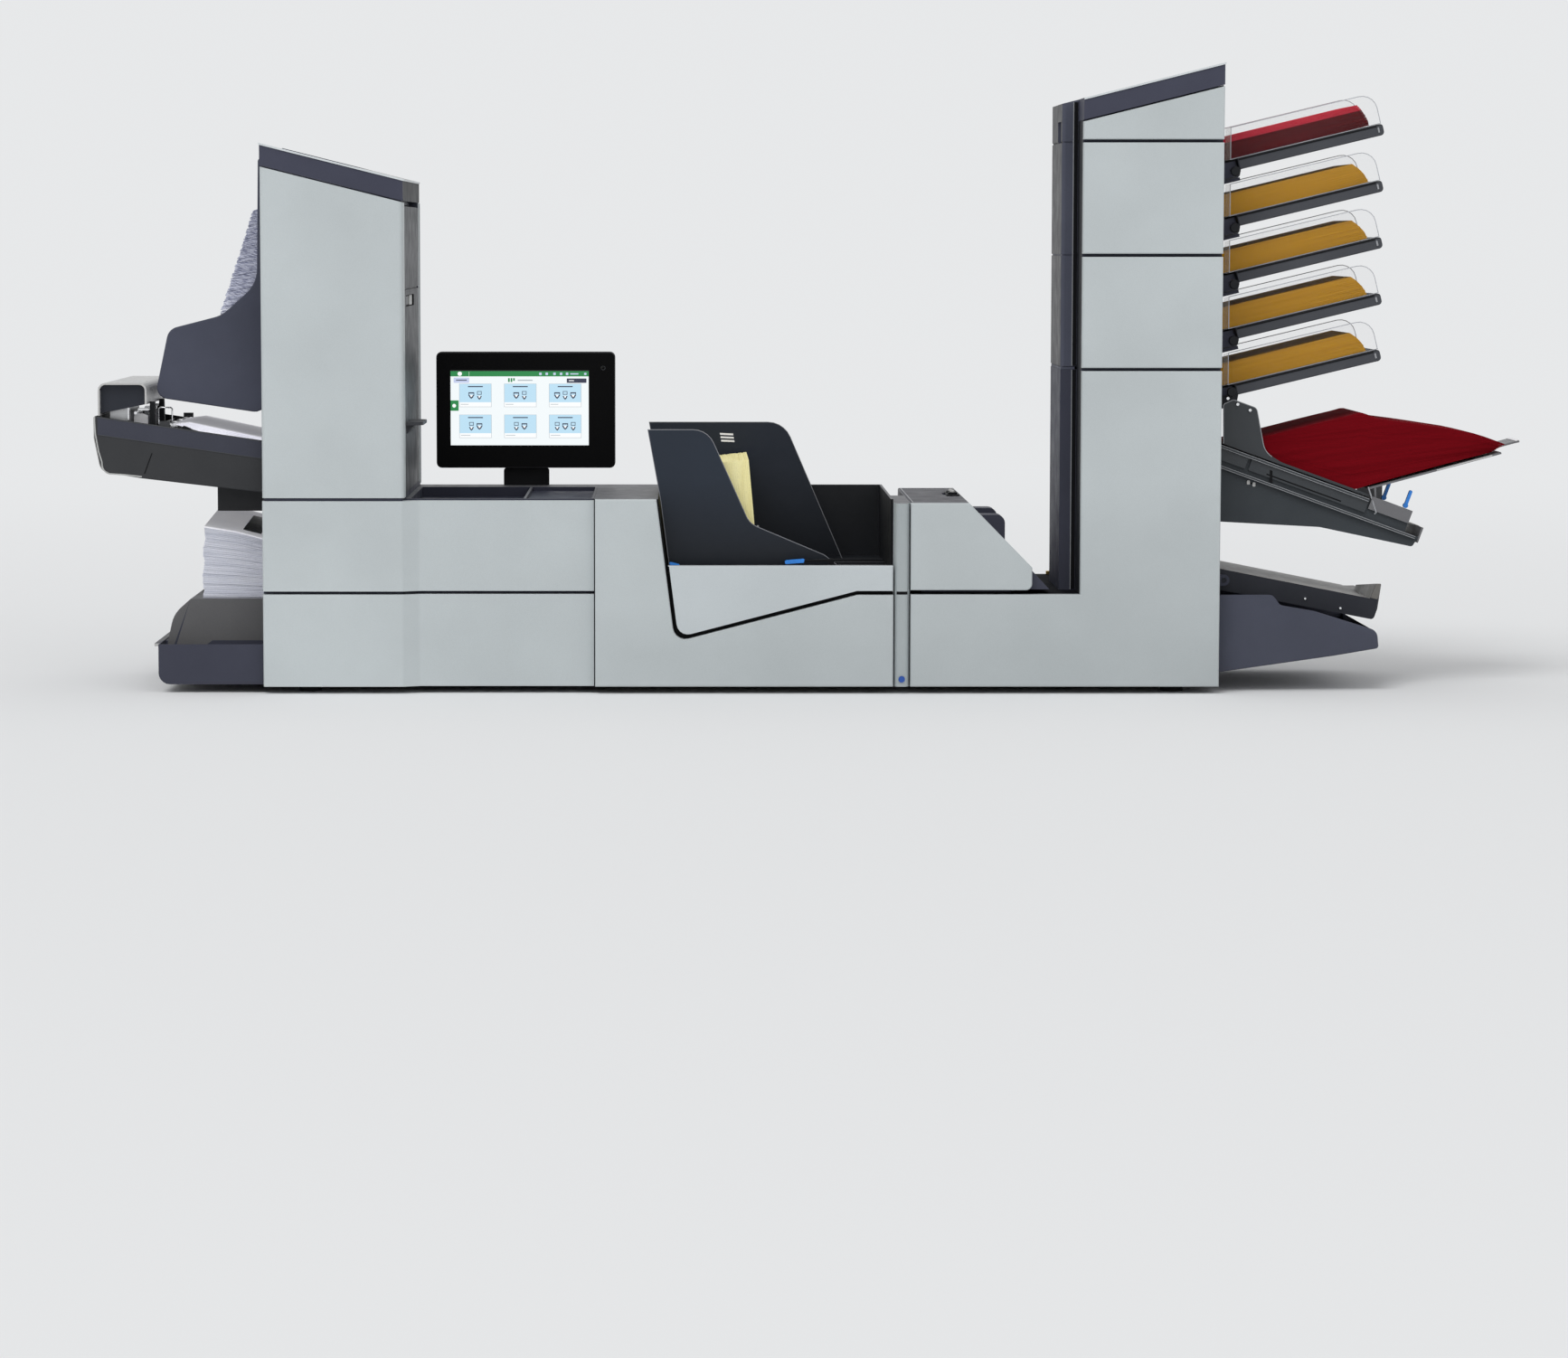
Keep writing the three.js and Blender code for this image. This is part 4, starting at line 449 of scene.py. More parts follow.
# Nodes of one finish
FINISHES = {
    PANEL: "tower_panel_lower tower_panel_upper tower_cap_panel right_l_panel fold_front_panel"
    " centre_panel left_tower_cover left_upper_panel left_lower_panel",
    BIN: "sheet_bin",
    HOUSING: "delivery_housing",
    DEEP: "screen_neck",
    GLASS: "screen_glass",
    BLUE: "hopper_lever_left feeder_lever_1 feeder_lever_2",
    BLUE_DARK: "column_button",
    RUBBER: "foot_1 foot_2 foot_3 foot_4 fold_roller_1 fold_roller_2",
    CHROME: "exit_roller",
}


def face_data(node):
    for face in NODES[node].data.polygons:
        yield face, own(face.center), face.normal


def paint(node, finish, *rules):
    """Gives each face the finish of the first rule that holds for it, or else the node's finish."""
    mesh = NODES[node].data
    mesh.materials.clear()
    for made in (finish, *(m for m, _ in rules)):
        mesh.materials.append(made)
    for face, place, normal in face_data(node):
        holding = (i for i, (_, rule) in enumerate(rules, 1) if rule(*place, normal))
        face.material_index = next(holding, 0)


for finish, names in FINISHES.items():
    for name in names.split():
        paint(name, finish)

# How far a normal leans to an axis: cut edges less, the other faces more than these
EDGE = 0.5
UP = 0.6
FLAT = 0.9
BROAD = 0.95
SQUARE = 0.99

REAR_COVER = (PANEL, lambda x, y, z, n: n.y > FLAT and y > REAR_SKIN)
paint(
    "left_frame",
    DARK,
    REAR_COVER,
    (PANEL, lambda x, y, z, n: n.x > 0.3 and x > 218 and y > 415 and z > 312),
    # Painted shade: the deck's top faces in mid grey
    (MID, lambda x, y, z, n: n.z > FLAT and abs(z - DECK_TOP) < 1 and x > 226),
    (DECK_IN, lambda x, y, z, n: 292 < z < DECK_TOP and 230 < x < 524 and 40 < y < 382),
)
paint(
    "right_frame",
    DARK,
    REAR_COVER,
    # Painted shadow: black in the gap beside the right door
    (BLACK, lambda x, y, z, n: n.x < -FLAT and x > 1290),
    # Painted shade: the floor near black
    (FLOOR_SHADE, lambda x, y, z, n: n.z > FLAT and z < 160),
)
paint(
    "centre_frame",
    DEEP,
    REAR_COVER,
    # Painted shade: the top faces in mid grey
    (MID, lambda x, y, z, n: n.z > FLAT and z > DECK_TOP - 1),
    (BLACK, lambda x, y, z, n: z > 189 and y > 19),
)
for cap, low, high in (("left_tower_cap", -1, 227), ("right_tower_cap", 1298, 1521)):
    paint(
        cap,
        BAND,
        # Painted shade: the top faces darker than the panel paint
        (TOP_PLATE, lambda x, y, z, n: n.z > UP),
        (PANEL_EDGE, lambda x, y, z, n, a=low, b=high: y < -1 or x < a or x > b),
        # Painted shade: the right end face darkened
        (CAP_END, lambda x, y, z, n: n.x > FLAT and x > 225.5),
        REAR_COVER,
    )
DOOR_FACE = 1273.2
paint(
    "right_tower_door",
    DOOR_EDGE,
    # Painted shade: the top face darker than the panel paint
    (TOP_PLATE, lambda x, y, z, n: n.z > UP and z > 930),
    # Painted light: the door's left face lighter
    (DOOR_SIDE_LIGHT, lambda x, y, z, n: n.x < -BROAD and x < DOOR_FACE),
    (BLACK, lambda x, y, z, n: n.x > EDGE),
    (DEEP, lambda x, y, z, n: DOOR_FACE < x < 1279 and z > 800 and abs(n.x) > BROAD),
)
paint(
    "fold_cover",
    DARK,
    # Painted shade: the lid's top in grey
    (FOLD_TOP_SHADE, lambda x, y, z, n: n.z > FLAT and z > 302 and x < 1130),
    # Painted light: the lid's left face lighter
    (MID, lambda x, y, z, n: n.x < -EDGE and x < 1040),
    REAR_COVER,
)
# The column in the darker panel paint: painted shade
paint(
    "column_cover",
    PANEL_SHADE,
    # Painted shade: the column's top in mid grey
    (MID, lambda x, y, z, n: n.z > FLAT and z > 300),
    (DEEP, lambda x, y, z, n: 157.9 < z < 163.1),
)
# The pocket panel's edge faces near black: a dark joint, widened with painted shade
SEAM_SHADE = (DEEP, lambda x, y, z, n: y > 0.05 and z < 200 and x < 995 and n.y < EDGE)
paint("pocket_panel", POCKET, SEAM_SHADE)
for name, finish in (("hopper_front_guide", HOPPER), ("hopper_rear_guide", HOPPER_REAR)):
    # Painted highlight on the cut edges
    paint(name, finish, (HOPPER_EDGE_HIGHLIGHT, lambda x, y, z, n: abs(n.y) < EDGE and z > HOPPER_FOOT))
paint("left_tower_door", DOOR_GREY, (DEEP, lambda x, y, z, n: 219 < x < 225 and 611 < z < 633))
paint("hopper_lever_right", BLUE, (DEEP, lambda x, y, z, n: x > 860))
paint("screen_housing", BEZEL, (BEZEL_EDGE, lambda x, y, z, n: y < 420 and 0.2 < abs(n.y) < BROAD))
paint(
    "feeder_frame",
    FEEDER,
    (RAIL, lambda x, y, z, n: (y < GIRDER_FACE or y > 354) and abs(n.y) < EDGE),
    (GIRDER, lambda x, y, z, n: y < 111.9 or y > 350.1),
    (BLACK, lambda x, y, z, n: n.z > UP),
)
paint("feeder_saddle", SADDLE, (BLACK, lambda x, y, z, n: n.z > FLAT and z < 320 and n.x > 0.2))
# Painted highlight on the guide's cut edges
paint("feeder_side_guide", GIRDER, (HOPPER_EDGE_HIGHLIGHT, lambda x, y, z, n: abs(n.y) < EDGE and y < 118))
paint(
    "delivery_deck",
    DELIVERY_SIDE,
    (WING, lambda x, y, z, n: x > RIGHT_END + 252 and z > 150),
    (DELIVERY_TOP, lambda x, y, z, n: n.z > FLAT),
)
paint(
    "exit_unit",
    EXIT_LOW,
    (SILVER, lambda x, y, z, n: n.x < -0.15 and x < -205 and y > 60.4 and z < 440),
    (BLACK, lambda x, y, z, n: n.z > UP and 64 < y < 426),
)
paint(
    "exit_hood",
    SILVER,
    (HOOD_END, lambda x, y, z, n: abs(n.y) > FLAT and 65 < y < 436),
    (BLACK, lambda x, y, z, n: -263 < x < -191 and 62 < y < 438 and z < 483.5),
)
paint(
    "stacker_tray",
    DARK,
    (HUMP, lambda x, y, z, n: y > 95.9 and z > 78 and n.z > -0.2),
    (TOP_PLATE, lambda x, y, z, n: x < -169.5 and z > 70),
)
ARM_END = 1548
for k in TRAYS:
    # Painted shadow: the base's upward faces in black
    paint(f"tray_{k}_base", TRAY, (BLACK, lambda x, y, z, n: n.z > UP))
    for side in ("front", "rear"):
        paint(
            f"tray_{k}_{side}_guide",
            CLEAR,
            # Painted highlight on the guides' outer edges
            (CLEAR_EDGE_HIGHLIGHT, lambda x, y, z, n: abs(n.y) < EDGE and x > ARM_END),
            (CLEAR_RIB, lambda x, y, z, n: x < ARM_END and (y < 120.3 or y > 337.7)),
        )


# Meshes
class Build:
    """One mesh of closed pieces, in the machine's own millimetres, with a usual finish."""

    def __init__(self, finish):
        self.mesh = bmesh.new()
        self.finishes = [finish]

    def closed(self, rings, finish=None):
        """Skin over rings of points, closed at both ends."""
        finish = finish or self.finishes[0]
        if finish not in self.finishes:
            self.finishes.append(finish)
        made = [[self.mesh.verts.new(at(*p)) for p in ring] for ring in rings]
        faces = []
        for a, b in zip(made, made[1:]):
            for p, q, r, s in zip(a, a[1:] + a[:1], b, b[1:] + b[:1]):
                faces.append(self.mesh.faces.new((p, q, s, r)))
        faces.append(self.mesh.faces.new(made[0][::-1]))
        faces.append(self.mesh.faces.new(made[-1]))
        for face in faces:
            face.material_index = self.finishes.index(finish)
        bmesh.ops.recalc_face_normals(self.mesh, faces=faces)

    def run_y(self, outline, front, back, finish=None):
        self.closed([[(x, y, z) for x, z in outline] for y in (front, back)], finish)

    def run_x(self, outline, left, right, finish=None):
        self.closed([[(x, y, z) for y, z in outline] for x in (left, right)], finish)

    def run_z(self, outline, low, high, finish=None):
        self.closed([[(x, y, z) for x, y in outline] for z in (low, high)], finish)

    def turned(self, centre, axis, profile, sides=24, finish=None):
        """A turned part: profile is (place along the axis, radius) from end to end."""
        rings = []
        for along, radius in profile:
            ring = []
            for i in range(sides):
                a = 2 * pi * i / sides
                u, v = radius * cos(a), radius * sin(a)
                offset = {"y": (u, along, v), "z": (u, v, along)}[axis]
                ring.append(tuple(c + o for c, o in zip(centre, offset)))
            rings.append(ring)
        self.closed(rings, finish)

    def rod(self, points, radius, sides=10, finish=None):
        """A round rod along a line of points."""
        line = [Vector(p) for p in points]
        angles = [2 * pi * k / sides for k in range(sides)]
        rings = []
        up = Vector((0, 1, 0.01)).normalized()
        for i, point in enumerate(line):
            along = (line[min(i + 1, len(line) - 1)] - line[max(i - 1, 0)]).normalized()
            side = along.cross(up)
            if side.length < 0.1:
                side = along.cross(Vector((1, 0, 0.01)))
            side.normalize()
            over = side.cross(along)
            arms = [cos(a) * side + sin(a) * over for a in angles]
            rings.append([tuple(point + radius * arm) for arm in arms])
        self.closed(rings, finish)

    def done(self, name, body, bevel=0.0):
        mesh = bpy.data.meshes.new(name)
        self.mesh.to_mesh(mesh)
        self.mesh.free()
        for finish in self.finishes:
            mesh.materials.append(finish)
        piece = bpy.data.objects.new(name, mesh)
        SCENE.collection.objects.link(piece)
        if bevel:
            edge = piece.modifiers.new("edges", "BEVEL")
            edge.width = bevel * MM
            edge.segments = 2
            edge.limit_method = "ANGLE"
            edge.angle_limit = radians(40)
        mesh.shade_smooth()
        mesh.set_sharp_from_angle(angle=radians(35))
        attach(piece, body)


def slab(name, body, outline, front, back, finish, bevel=0.0):
    """A piece that is one run along Y."""
    build = Build(finish)
    build.run_y(outline, front, back)
    build.done(name, body, bevel)


def arc(x, z, radius, start, end, steps):
    """Points on an arc about (x, z), by angles in degrees."""
    angles = [radians(start + (end - start) * i / steps) for i in range(steps + 1)]
    return [(x + radius * cos(a), z + radius * sin(a)) for a in angles]


def box_outline(a0, b0, a1, b1):
    return [(a0, b0), (a1, b0), (a1, b1), (a0, b1)]


def soft_box(a0, b0, a1, b1, radius):
    """A rectangle with rounded corners."""
    r = min(radius, (a1 - a0) / 2, (b1 - b0) / 2)
    corners = box_outline(a1 - r, b1 - r, a0 + r, b0 + r)
    return [
        point
        for start, (a, b) in zip((0, 90, 180, 270), corners)
        for point in arc(a, b, r, start, start + 90, 4)
    ]


def smooth_line(points, steps):
    """A Catmull-Rom line through points."""
    line = [Vector(p) for p in points]
    line = [2 * line[0] - line[1], *line, 2 * line[-1] - line[-2]]
    made = []
    for a, b, c, d in zip(line, line[1:], line[2:], line[3:]):
        for i in range(steps):
            t = i / steps
            made.append(
                0.5 * (2 * b + (c - a) * t + (2 * a - 5 * b + 4 * c - d) * t**2
                       + (3 * b - a - 3 * c + d) * t**3)
            )
    made.append(line[-2])
    return [tuple(p) for p in made]


def sheet(low, high, gap):
    """The outline of a thin slab between two lines, a gap short of the upper one."""
    return low + [(x, z - gap) for x, z in reversed(high)]


def pile(build, curve, draw, *, count, front, back, reach, top_sheets, top_finish):
    """Sheets between curve(0) and curve(1), each a little off its neighbours."""
    gap, aside = 0.12, 0.5
    for i in range(count):
        low, high = curve(i / count), curve((i + 1) / count)
        shift, slip = draw.uniform(-reach, 0), draw.uniform(-aside, aside)
        low = [*low[:-1], (low[-1][0] + shift, low[-1][1])]
        high = [*high[:-1], (high[-1][0] + shift, high[-1][1])]
        finish = top_finish if i >= count - top_sheets else None
        build.run_y(sheet(low, high, gap), front + slip, back + slip, finish)


# Painted highlights: light lines along the cut edges of flat solids
def widest_depth(node):
    """The depth of a solid's largest flat front face."""
    areas = {}
    for face, place, normal in face_data(node):
        if normal.y < -SQUARE:
            depth = round(place[1], 1)
            areas[depth] = areas.get(depth, 0) + face.area
    return max(areas, key=areas.get)


def front_loops(node, depth):
    """The outlines of a solid's flat front faces at one depth, each as a line of (x, z)."""
    points = [own(v.co) for v in NODES[node].data.vertices]
    after = {}
    for face, place, normal in face_data(node):
        if normal.y < -SQUARE and abs(place[1] - depth) < 0.3:
            ring = [(round(points[i][0], 2), round(points[i][2], 2)) for i in face.vertices]
            for a, b in zip(ring, ring[1:] + ring[:1]):
                if a in after.get(b, ()):
                    after[b].remove(a)
                else:
                    after.setdefault(a, []).append(b)
    loops = []
    while any(after.values()):
        start = next(a for a, ends in after.items() if ends)
        loop, here = [], start
        while after.get(here):
            loop.append(here)
            here = after[here].pop()
        loops.append(loop)
    return loops


def straightened(loop):
    """A closed line without the points that lie on a straight run."""
    kept = []
    for i, (x, z) in enumerate(loop):
        (ax, az), (bx, bz) = loop[i - 1], loop[(i + 1) % len(loop)]
        if abs((x - ax) * (bz - z) - (z - az) * (bx - x)) > 0.05:
            kept.append((x, z))
    return kept


def inset(loop, width):
    """The closed line moved to its left, which is inward, by width."""
    moved = []
    for i, point in enumerate(loop):
        here = Vector(point)
        a = (here - Vector(loop[i - 1])).normalized()
        b = (Vector(loop[(i + 1) % len(loop)]) - here).normalized()
        normal = Vector((-a.y - b.y, a.x + b.x))
        moved.append(tuple(here + normal * (width / max(normal.length_squared / 2, 0.3))))
    return moved


def edge_highlights(node, body, width, finish, above=0):
    """A painted highlight: a raised line just inside the outline of a solid's largest front face,
    above a height.
    """
    depth = widest_depth(node)
    proud, sunk = 0.25, 0.05
    build = Build(finish)
    for loop in front_loops(node, depth):
        loop = straightened(loop)
        inner = inset(loop, width)
        for a, b, c, d in zip(loop, loop[1:] + loop[:1], inner, inner[1:] + inner[:1]):
            if (a[1] + b[1]) / 2 > above:
                build.run_y([a, b, d, c], depth - proud, depth + sunk)
    build.done(f"{node}_edge", body)


# Feed trays
def on_tray(k, u, w):
    """A place on tray k: u along it from the tower, w square to it."""
    return (
        RIGHT_END + 0.3 + u * cos(TRAY_ANGLE) - w * sin(TRAY_ANGLE),
        TRAY_TOP - TRAY_PITCH * (k - 1) + u * sin(TRAY_ANGLE) + w * cos(TRAY_ANGLE),
    )


def tray_paper(k):
    """The red pile of the first tray, or an ochre one, upright inside and rounded outside."""
    draw = random.Random(40 + k)
    red = k == 1
    low, high = 1.8, 38 if red else 36
    length, rounding, slope = 253, 12 if red else 15, 0 if red else 4

    def curve(t):
        w = low + (high - low) * t
        start = 0.7 + w * tan(TRAY_ANGLE)
        end = length - rounding * t * t - slope * t
        return [on_tray(k, u, w) for u in (start, (start + end) / 2, end)]

    build = Build(RED if red else OCHRE)
    # The top sheets take the red painted highlight or the ochre painted shade
    pile(
        build, curve, draw, count=26, front=TRAY_FRONT + 13, back=333.4, reach=1.0,
        top_sheets=7 if red else 3, top_finish=RED_HIGHLIGHT if red else OCHRE_TOP,
    )
    build.done(f"tray_{k}_paper", f"tray_{k}")


def tray_trim(k):
    """The tray's knob and bracket by the tower, a painted shadow line under its paper, its outer
    clip, and painted highlights along the guides' edges.
    """
    lowest = k == len(TRAYS)
    build = Build(BLACK)
    x, z = on_tray(k, 26, -11 if lowest else -19)
    y = TRAY_FRONT
    knob = [(-9, 0.5), (-9, 6.6), (-8, 7.6), (-2, 7.6), (-1, 6.5), (-1, 4), (1.5, 4), (1.5, 0.5)]
    build.turned((x, y, z), "y", knob)
    ridges, grip = 12, 7.5
    for i in range(ridges):
        a = 2 * pi * i / ridges
        ridge = (x + grip * cos(a), y, z + grip * sin(a))
        build.turned(ridge, "y", [(-8, 0.9), (-2, 0.9)], 6)
    low = -15 if lowest else -27
    bracket = [on_tray(k, u, w) for u, w in ((3, low), (22, low), (33, -14), (30, -3), (3, -3))]
    build.run_y(bracket, y + 14, y + 16.5, DARK)
    # A painted shadow line along the base, under the paper
    lip_shadow = [on_tray(k, u, w) for u, w in box_outline(36, -1.6, 262, -3.4)]
    build.run_y(lip_shadow, y - 0.9, y + 0.6, DEEP)
    clip = [on_tray(k, u, w) for u, w in soft_box(262.4, -13, 265.2, -4.6, 0.8)]
    build.run_y(clip, y - 1.2, y + 0.6, LINE)
    build.done(f"tray_{k}_trim", f"tray_{k}", 0.25)
    for side in ("front", "rear"):
        node = f"tray_{k}_{side}_guide"
        edge_highlights(node, f"tray_{k}_{side}", 1.3, CLEAR_EDGE_HIGHLIGHT)


for k in TRAYS:
    tray_paper(k)
for k in TRAYS:
    tray_trim(k)


# Large sheet feeder
def on_slant(u, w):
    """A place on the feeder's sloping bed: u along it from the tower, w square to it."""
    return (
        RIGHT_END + 0.3 + u * cos(FEEDER_ANGLE) + w * sin(FEEDER_ANGLE),
        FEEDER_TOP - u * sin(FEEDER_ANGLE) + w * cos(FEEDER_ANGLE),
    )


SUPPORT_FOOT = on_slant(263, 14.5)


def on_support(d, lift):
    """A place on the sheet support: d along it from its foot, lift square to it."""
    c, s = cos(SUPPORT_ANGLE), sin(SUPPORT_ANGLE)
    return SUPPORT_FOOT[0] + d * c - lift * s, SUPPORT_FOOT[1] + d * s + lift * c


def feeder_paper():
    """A fanned pile: each sheet comes down the belts, bends and rises along the support."""
    draw = random.Random(7)
    bottom = [on_slant(14, 2.2), on_slant(100, 2.2), on_slant(190, 2.2), on_slant(232, 2.3)]
    bottom += [(1757, 321.2), (1772.7, 326), (1828, 341.6), (1881, 356.2)]
    bottom += [(1925, 367.8), (1969.5, 379)]
    top = [(1560, 394.5), (1622.9, 409), (1690, 426), (1738, 437.5), (1760.3, 442.3)]
    top += [(1784.5, 433.5), (1835, 426.5), (1885.3, 419), (1939.6, 409.6), (1992, 391.5)]

    def curve(t):
        line = [tuple(a + (b - a) * t for a, b in zip(p, q)) for p, q in zip(bottom, top)]
        return smooth_line(line, 3)

    build = Build(CRIMSON)
    # The top sheet is slightly lighter: painted light
    pile(
        build, curve, draw, count=34, front=119.5, back=335, reach=2.0,
        top_sheets=1, top_finish=CRIMSON_TOP,
    )
    build.done("feeder_paper", "saddle")


def feeder_guide_trim():
    """Three pins in the side guide, and a painted highlight along its upper edge."""
    build = Build(CHROME)
    pin = [(-2.4, 0.5), (-2.4, 2.3), (-1.6, 3), (0.6, 3), (0.6, 0.5)]
    for x, z in ((1543.2, 465.5), (1559.1, 456.1), (1579.0, 446.6)):
        build.turned((x, 114, z), "y", pin, 20)
    build.done("feeder_guide_pins", "feeder_guide")
    edge_highlights("feeder_side_guide", "feeder_guide", 1.2, LINE, 372)


def feeder_end_plate():
    build = Build(SADDLE)
    upright = [on_slant(u, w) for u, w in box_outline(364.3, -40, 367.5, -14)]
    build.run_y(upright, 116, 346)
    nose = ((345, -13.4), (372, -13.4), (376, -15.5), (372, -15.6), (345, -15.6))
    build.run_y([on_slant(u, w) for u, w in nose], 190, 262, SILVER)
    build.done("feeder_end_plate", "machine", 0.3)


def feeder_lines():
    """Painted highlights on the rails' edges, the girder's slot and notch, and two linked clips."""
    build = Build(LINE)
    for low, first, last in ((-1.0, 9, 267), (-4.9, 9, 267), (-32.2, 17, 358), (-35.6, 17, 358)):
        line = [on_slant(u, w) for u, w in box_outline(first, low, last, low + 0.8)]
        build.run_y(line, RAIL_FACE - 0.4, RAIL_FACE + 0.1)
    slot = [on_slant(u, w) for u, w in box_outline(98, -20.6, 226, -18.4)]
    build.run_y(slot, GIRDER_FACE - 0.3, GIRDER_FACE + 0.1, DEEP)
    notch = [(1611.4, 351), (1615.6, 349.4), (1615.6, 327), (1611.4, 326)]
    build.run_y(notch, GIRDER_FACE - 0.8, GIRDER_FACE + 0.1, DEEP)
    clip_back = 112.1
    for x, z in ((1586.4, 327.4), (1577.4, 330.6)):
        clip = soft_box(x - 2.4, z - 3.4, x + 2.4, z + 3.4, 1.5)
        build.run_y(clip, 110.6, clip_back, SILVER)
    link = [(1580, 328.6), (1584, 327.8), (1584, 329.4), (1580, 330.2)]
    build.run_y(link, 111.2, clip_back, DEEP)
    build.done("feeder_lines", "machine")


def support_edges():
    """The sheet support's light strip and tip, and its wire leg."""
    build = Build(SILVER)
    strip = [on_support(d, w) for d, w in box_outline(112, 0.6, 204, 2.6)]
    build.run_y(strip, 111.9, 112.4)
    tip = [on_support(d, w) for d, w in box_outline(266, -0.6, 271.8, 4.0)]
    build.run_y(tip, 240, 326, SHEET)
    leg = [(1770.4, 110.6, 323.3), (1782.8, 105.4, 282.1), (1779.8, 105.4, 280.1)]
    build.rod(leg, 1.3, 10, LINE)
    build.done("support_edges", "saddle", 0.3)


feeder_paper()
feeder_guide_trim()
feeder_end_plate()
feeder_lines()
support_edges()


# Envelope hopper
def hopper_envelopes():
    """Envelopes that stand on edge, leaning back."""
    draw = random.Random(11)
    build = Build(YELLOW)
    count, depth, gap = 46, 138, 0.25
    foot, top, rise = 193.4, 369, 14.7
    thick = depth / count - gap
    for i in range(count):
        t = i / count
        low = (648 + 140.5 * t, foot)
        high = (640.5 + 132.5 * t, top - rise * (1 - t) - draw.uniform(0, 0.8))
        slip = draw.uniform(-0.6, 0.6)
        bulge = 0.6 * sin(9 * t)
        middle = ((low[0] + high[0]) / 2 + bulge, (low[1] + high[1]) / 2)
        left = [low, middle, high]
        right = [(x + thick, z) for x, z in left]
        build.run_y([low, *right, high, middle], 80 + slip, 350 + slip)
    build.done("hopper_envelopes", "machine")


def hopper_mark():
    """A plain mark of three bars on the rear guide."""
    build = Build(SHEET)
    depth = widest_depth("hopper_rear_guide")
    for i in range(3):
        x, z = 729 + i, 399.5 - 5.6 * i
        bar = [(x, z), (x + 22, z - 1), (x + 22.4, z - 4), (x + 0.4, z - 3)]
        build.run_y(bar, depth - 0.2, depth + 0.05)
    build.done("hopper_mark", "rear_guide")


STOP = [(785, 193.3), (806, 193.3), (806, 195.5), (788, 195.5), (789.5, 262), (787, 262)]

hopper_envelopes()
slab("hopper_stop", "machine", STOP, 96, 106, STEEL, 0.3)
hopper_mark()
for side in ("front", "rear"):
    node = f"hopper_{side}_guide"
    edge_highlights(node, f"{side}_guide", 1.1, HOPPER_EDGE_HIGHLIGHT, HOPPER_FOOT + 1)


# Left end: sheets in the bin, envelopes on stacker and exit unit
def exit_top(x):
    """Height of the exit unit's sloping side walls."""
    return 439.5 - (x + 273.6) * 0.145


def bed(x):
    """Height of the bed between them."""
    return exit_top(x) - 14


def bin_paper(draw):
    """Sheets that fill the bin and step back to the right above its side's bend."""
    count, foot, height, bend = 150, 461, 305, 600

    def curve(t):
        z = foot + height * t
        left = -74 + 5 * t if z < bend else -73 + 57 * (z - bend) / 173
        sag = 12 * (1 - t)
        return [(left, z), (left * 0.45, z + 4 + sag * 0.4), (-5.5, z + 8 * t + 2)]

    build = Build(WHITE)
    for i in range(count):
        low, high = curve(i / count), curve((i + 1) / count)
        shift = draw.uniform(-2.0, 1.0)
        low = [(low[0][0] + shift, low[0][1]), *low[1:]]
        high = [(high[0][0] + shift, high[0][1]), *high[1:]]
        slip = draw.uniform(-1.0, 1.0)
        build.run_y(sheet(low, high, 0.3), 99 + slip, 361 + slip)
    build.done("bin_paper", "machine")


def stacker_envelopes(draw):
    """Envelopes lie thicker at the rear, where their flaps are."""
    build = Build(PILE)
    count, foot = 44, 143.9

    def envelope(t, left, wide, narrow):
        return [
            (left, foot + wide * t),
            (left * 0.5, foot + (wide + narrow) / 2 * t + 2.5 * t),
            (-2, foot + narrow * t),
        ]

    for i in range(count):
        t, s = i / count, (i + 1) / count
        left = -106.5 + 1.3 * sin(17 * t) + draw.uniform(-0.8, 0.8) + 3.5 * t
        slip = draw.uniform(-0.9, 0.9)
        rings = []
        for y, wide, narrow in ((112 + slip, 116.5, 95.1), (388 + slip, 133.4, 112.1)):
            low, high = envelope(t, left, wide, narrow), envelope(s, left, wide, narrow)
            rings.append([(x, y, z) for x, z in sheet(low, high, 0.3)])
        # The top envelope's paper glows a little: painted light
        build.closed(rings, PAINTED_LIGHT_SHEET if i == count - 1 else None)
    build.done("stacker_envelopes", "machine")


def stacker_flap():
    """The dark flap that lies on the stacked envelopes."""
    build = Build(GIRDER)
    rings = []
    for y, rise in ((150, 0.4), (330, 11.2)):
        low = [(x, y, z + rise) for x, z in ((-44, 251.2), (-15, 244.6))]
        rings.append(low + [(x, y, z + 2.2) for x, y, z in reversed(low)])
    build.closed(rings)
    build.done("stacker_flap", "machine", 0.4)


def exit_envelopes(draw):
    """Envelopes that slide down from the exit roller, fanned."""
    # These envelopes' paper glows a little: painted light
    build = Build(PAINTED_LIGHT_SHEET)
    count, thick = 7, 0.55
    for i in range(count):
        t = i / (count - 1)
        left, right = -151 + 23 * t + (2 if i else 0), -8 - 1.5 * draw.random()
        high, low = 425.2 + 2.4 * t, bed(right) + 0.5 + 15.2 * t
        middle = ((left + right) / 2, (high + low) / 2 - 1.2 * (1 - t))
        line = [(left, high), middle, (right, low)]
        slip = draw.uniform(-1, 1)
        build.run_y(sheet(line, line, -thick), 100 + slip, 380 + slip)
    build.done("exit_envelopes", "machine")


def left_paper():
    draw = random.Random(21)
    bin_paper(draw)
    stacker_envelopes(draw)
    stacker_flap()
    exit_envelopes(draw)


EXIT_FACE = 59.4
EXIT_SKIN = 60.4


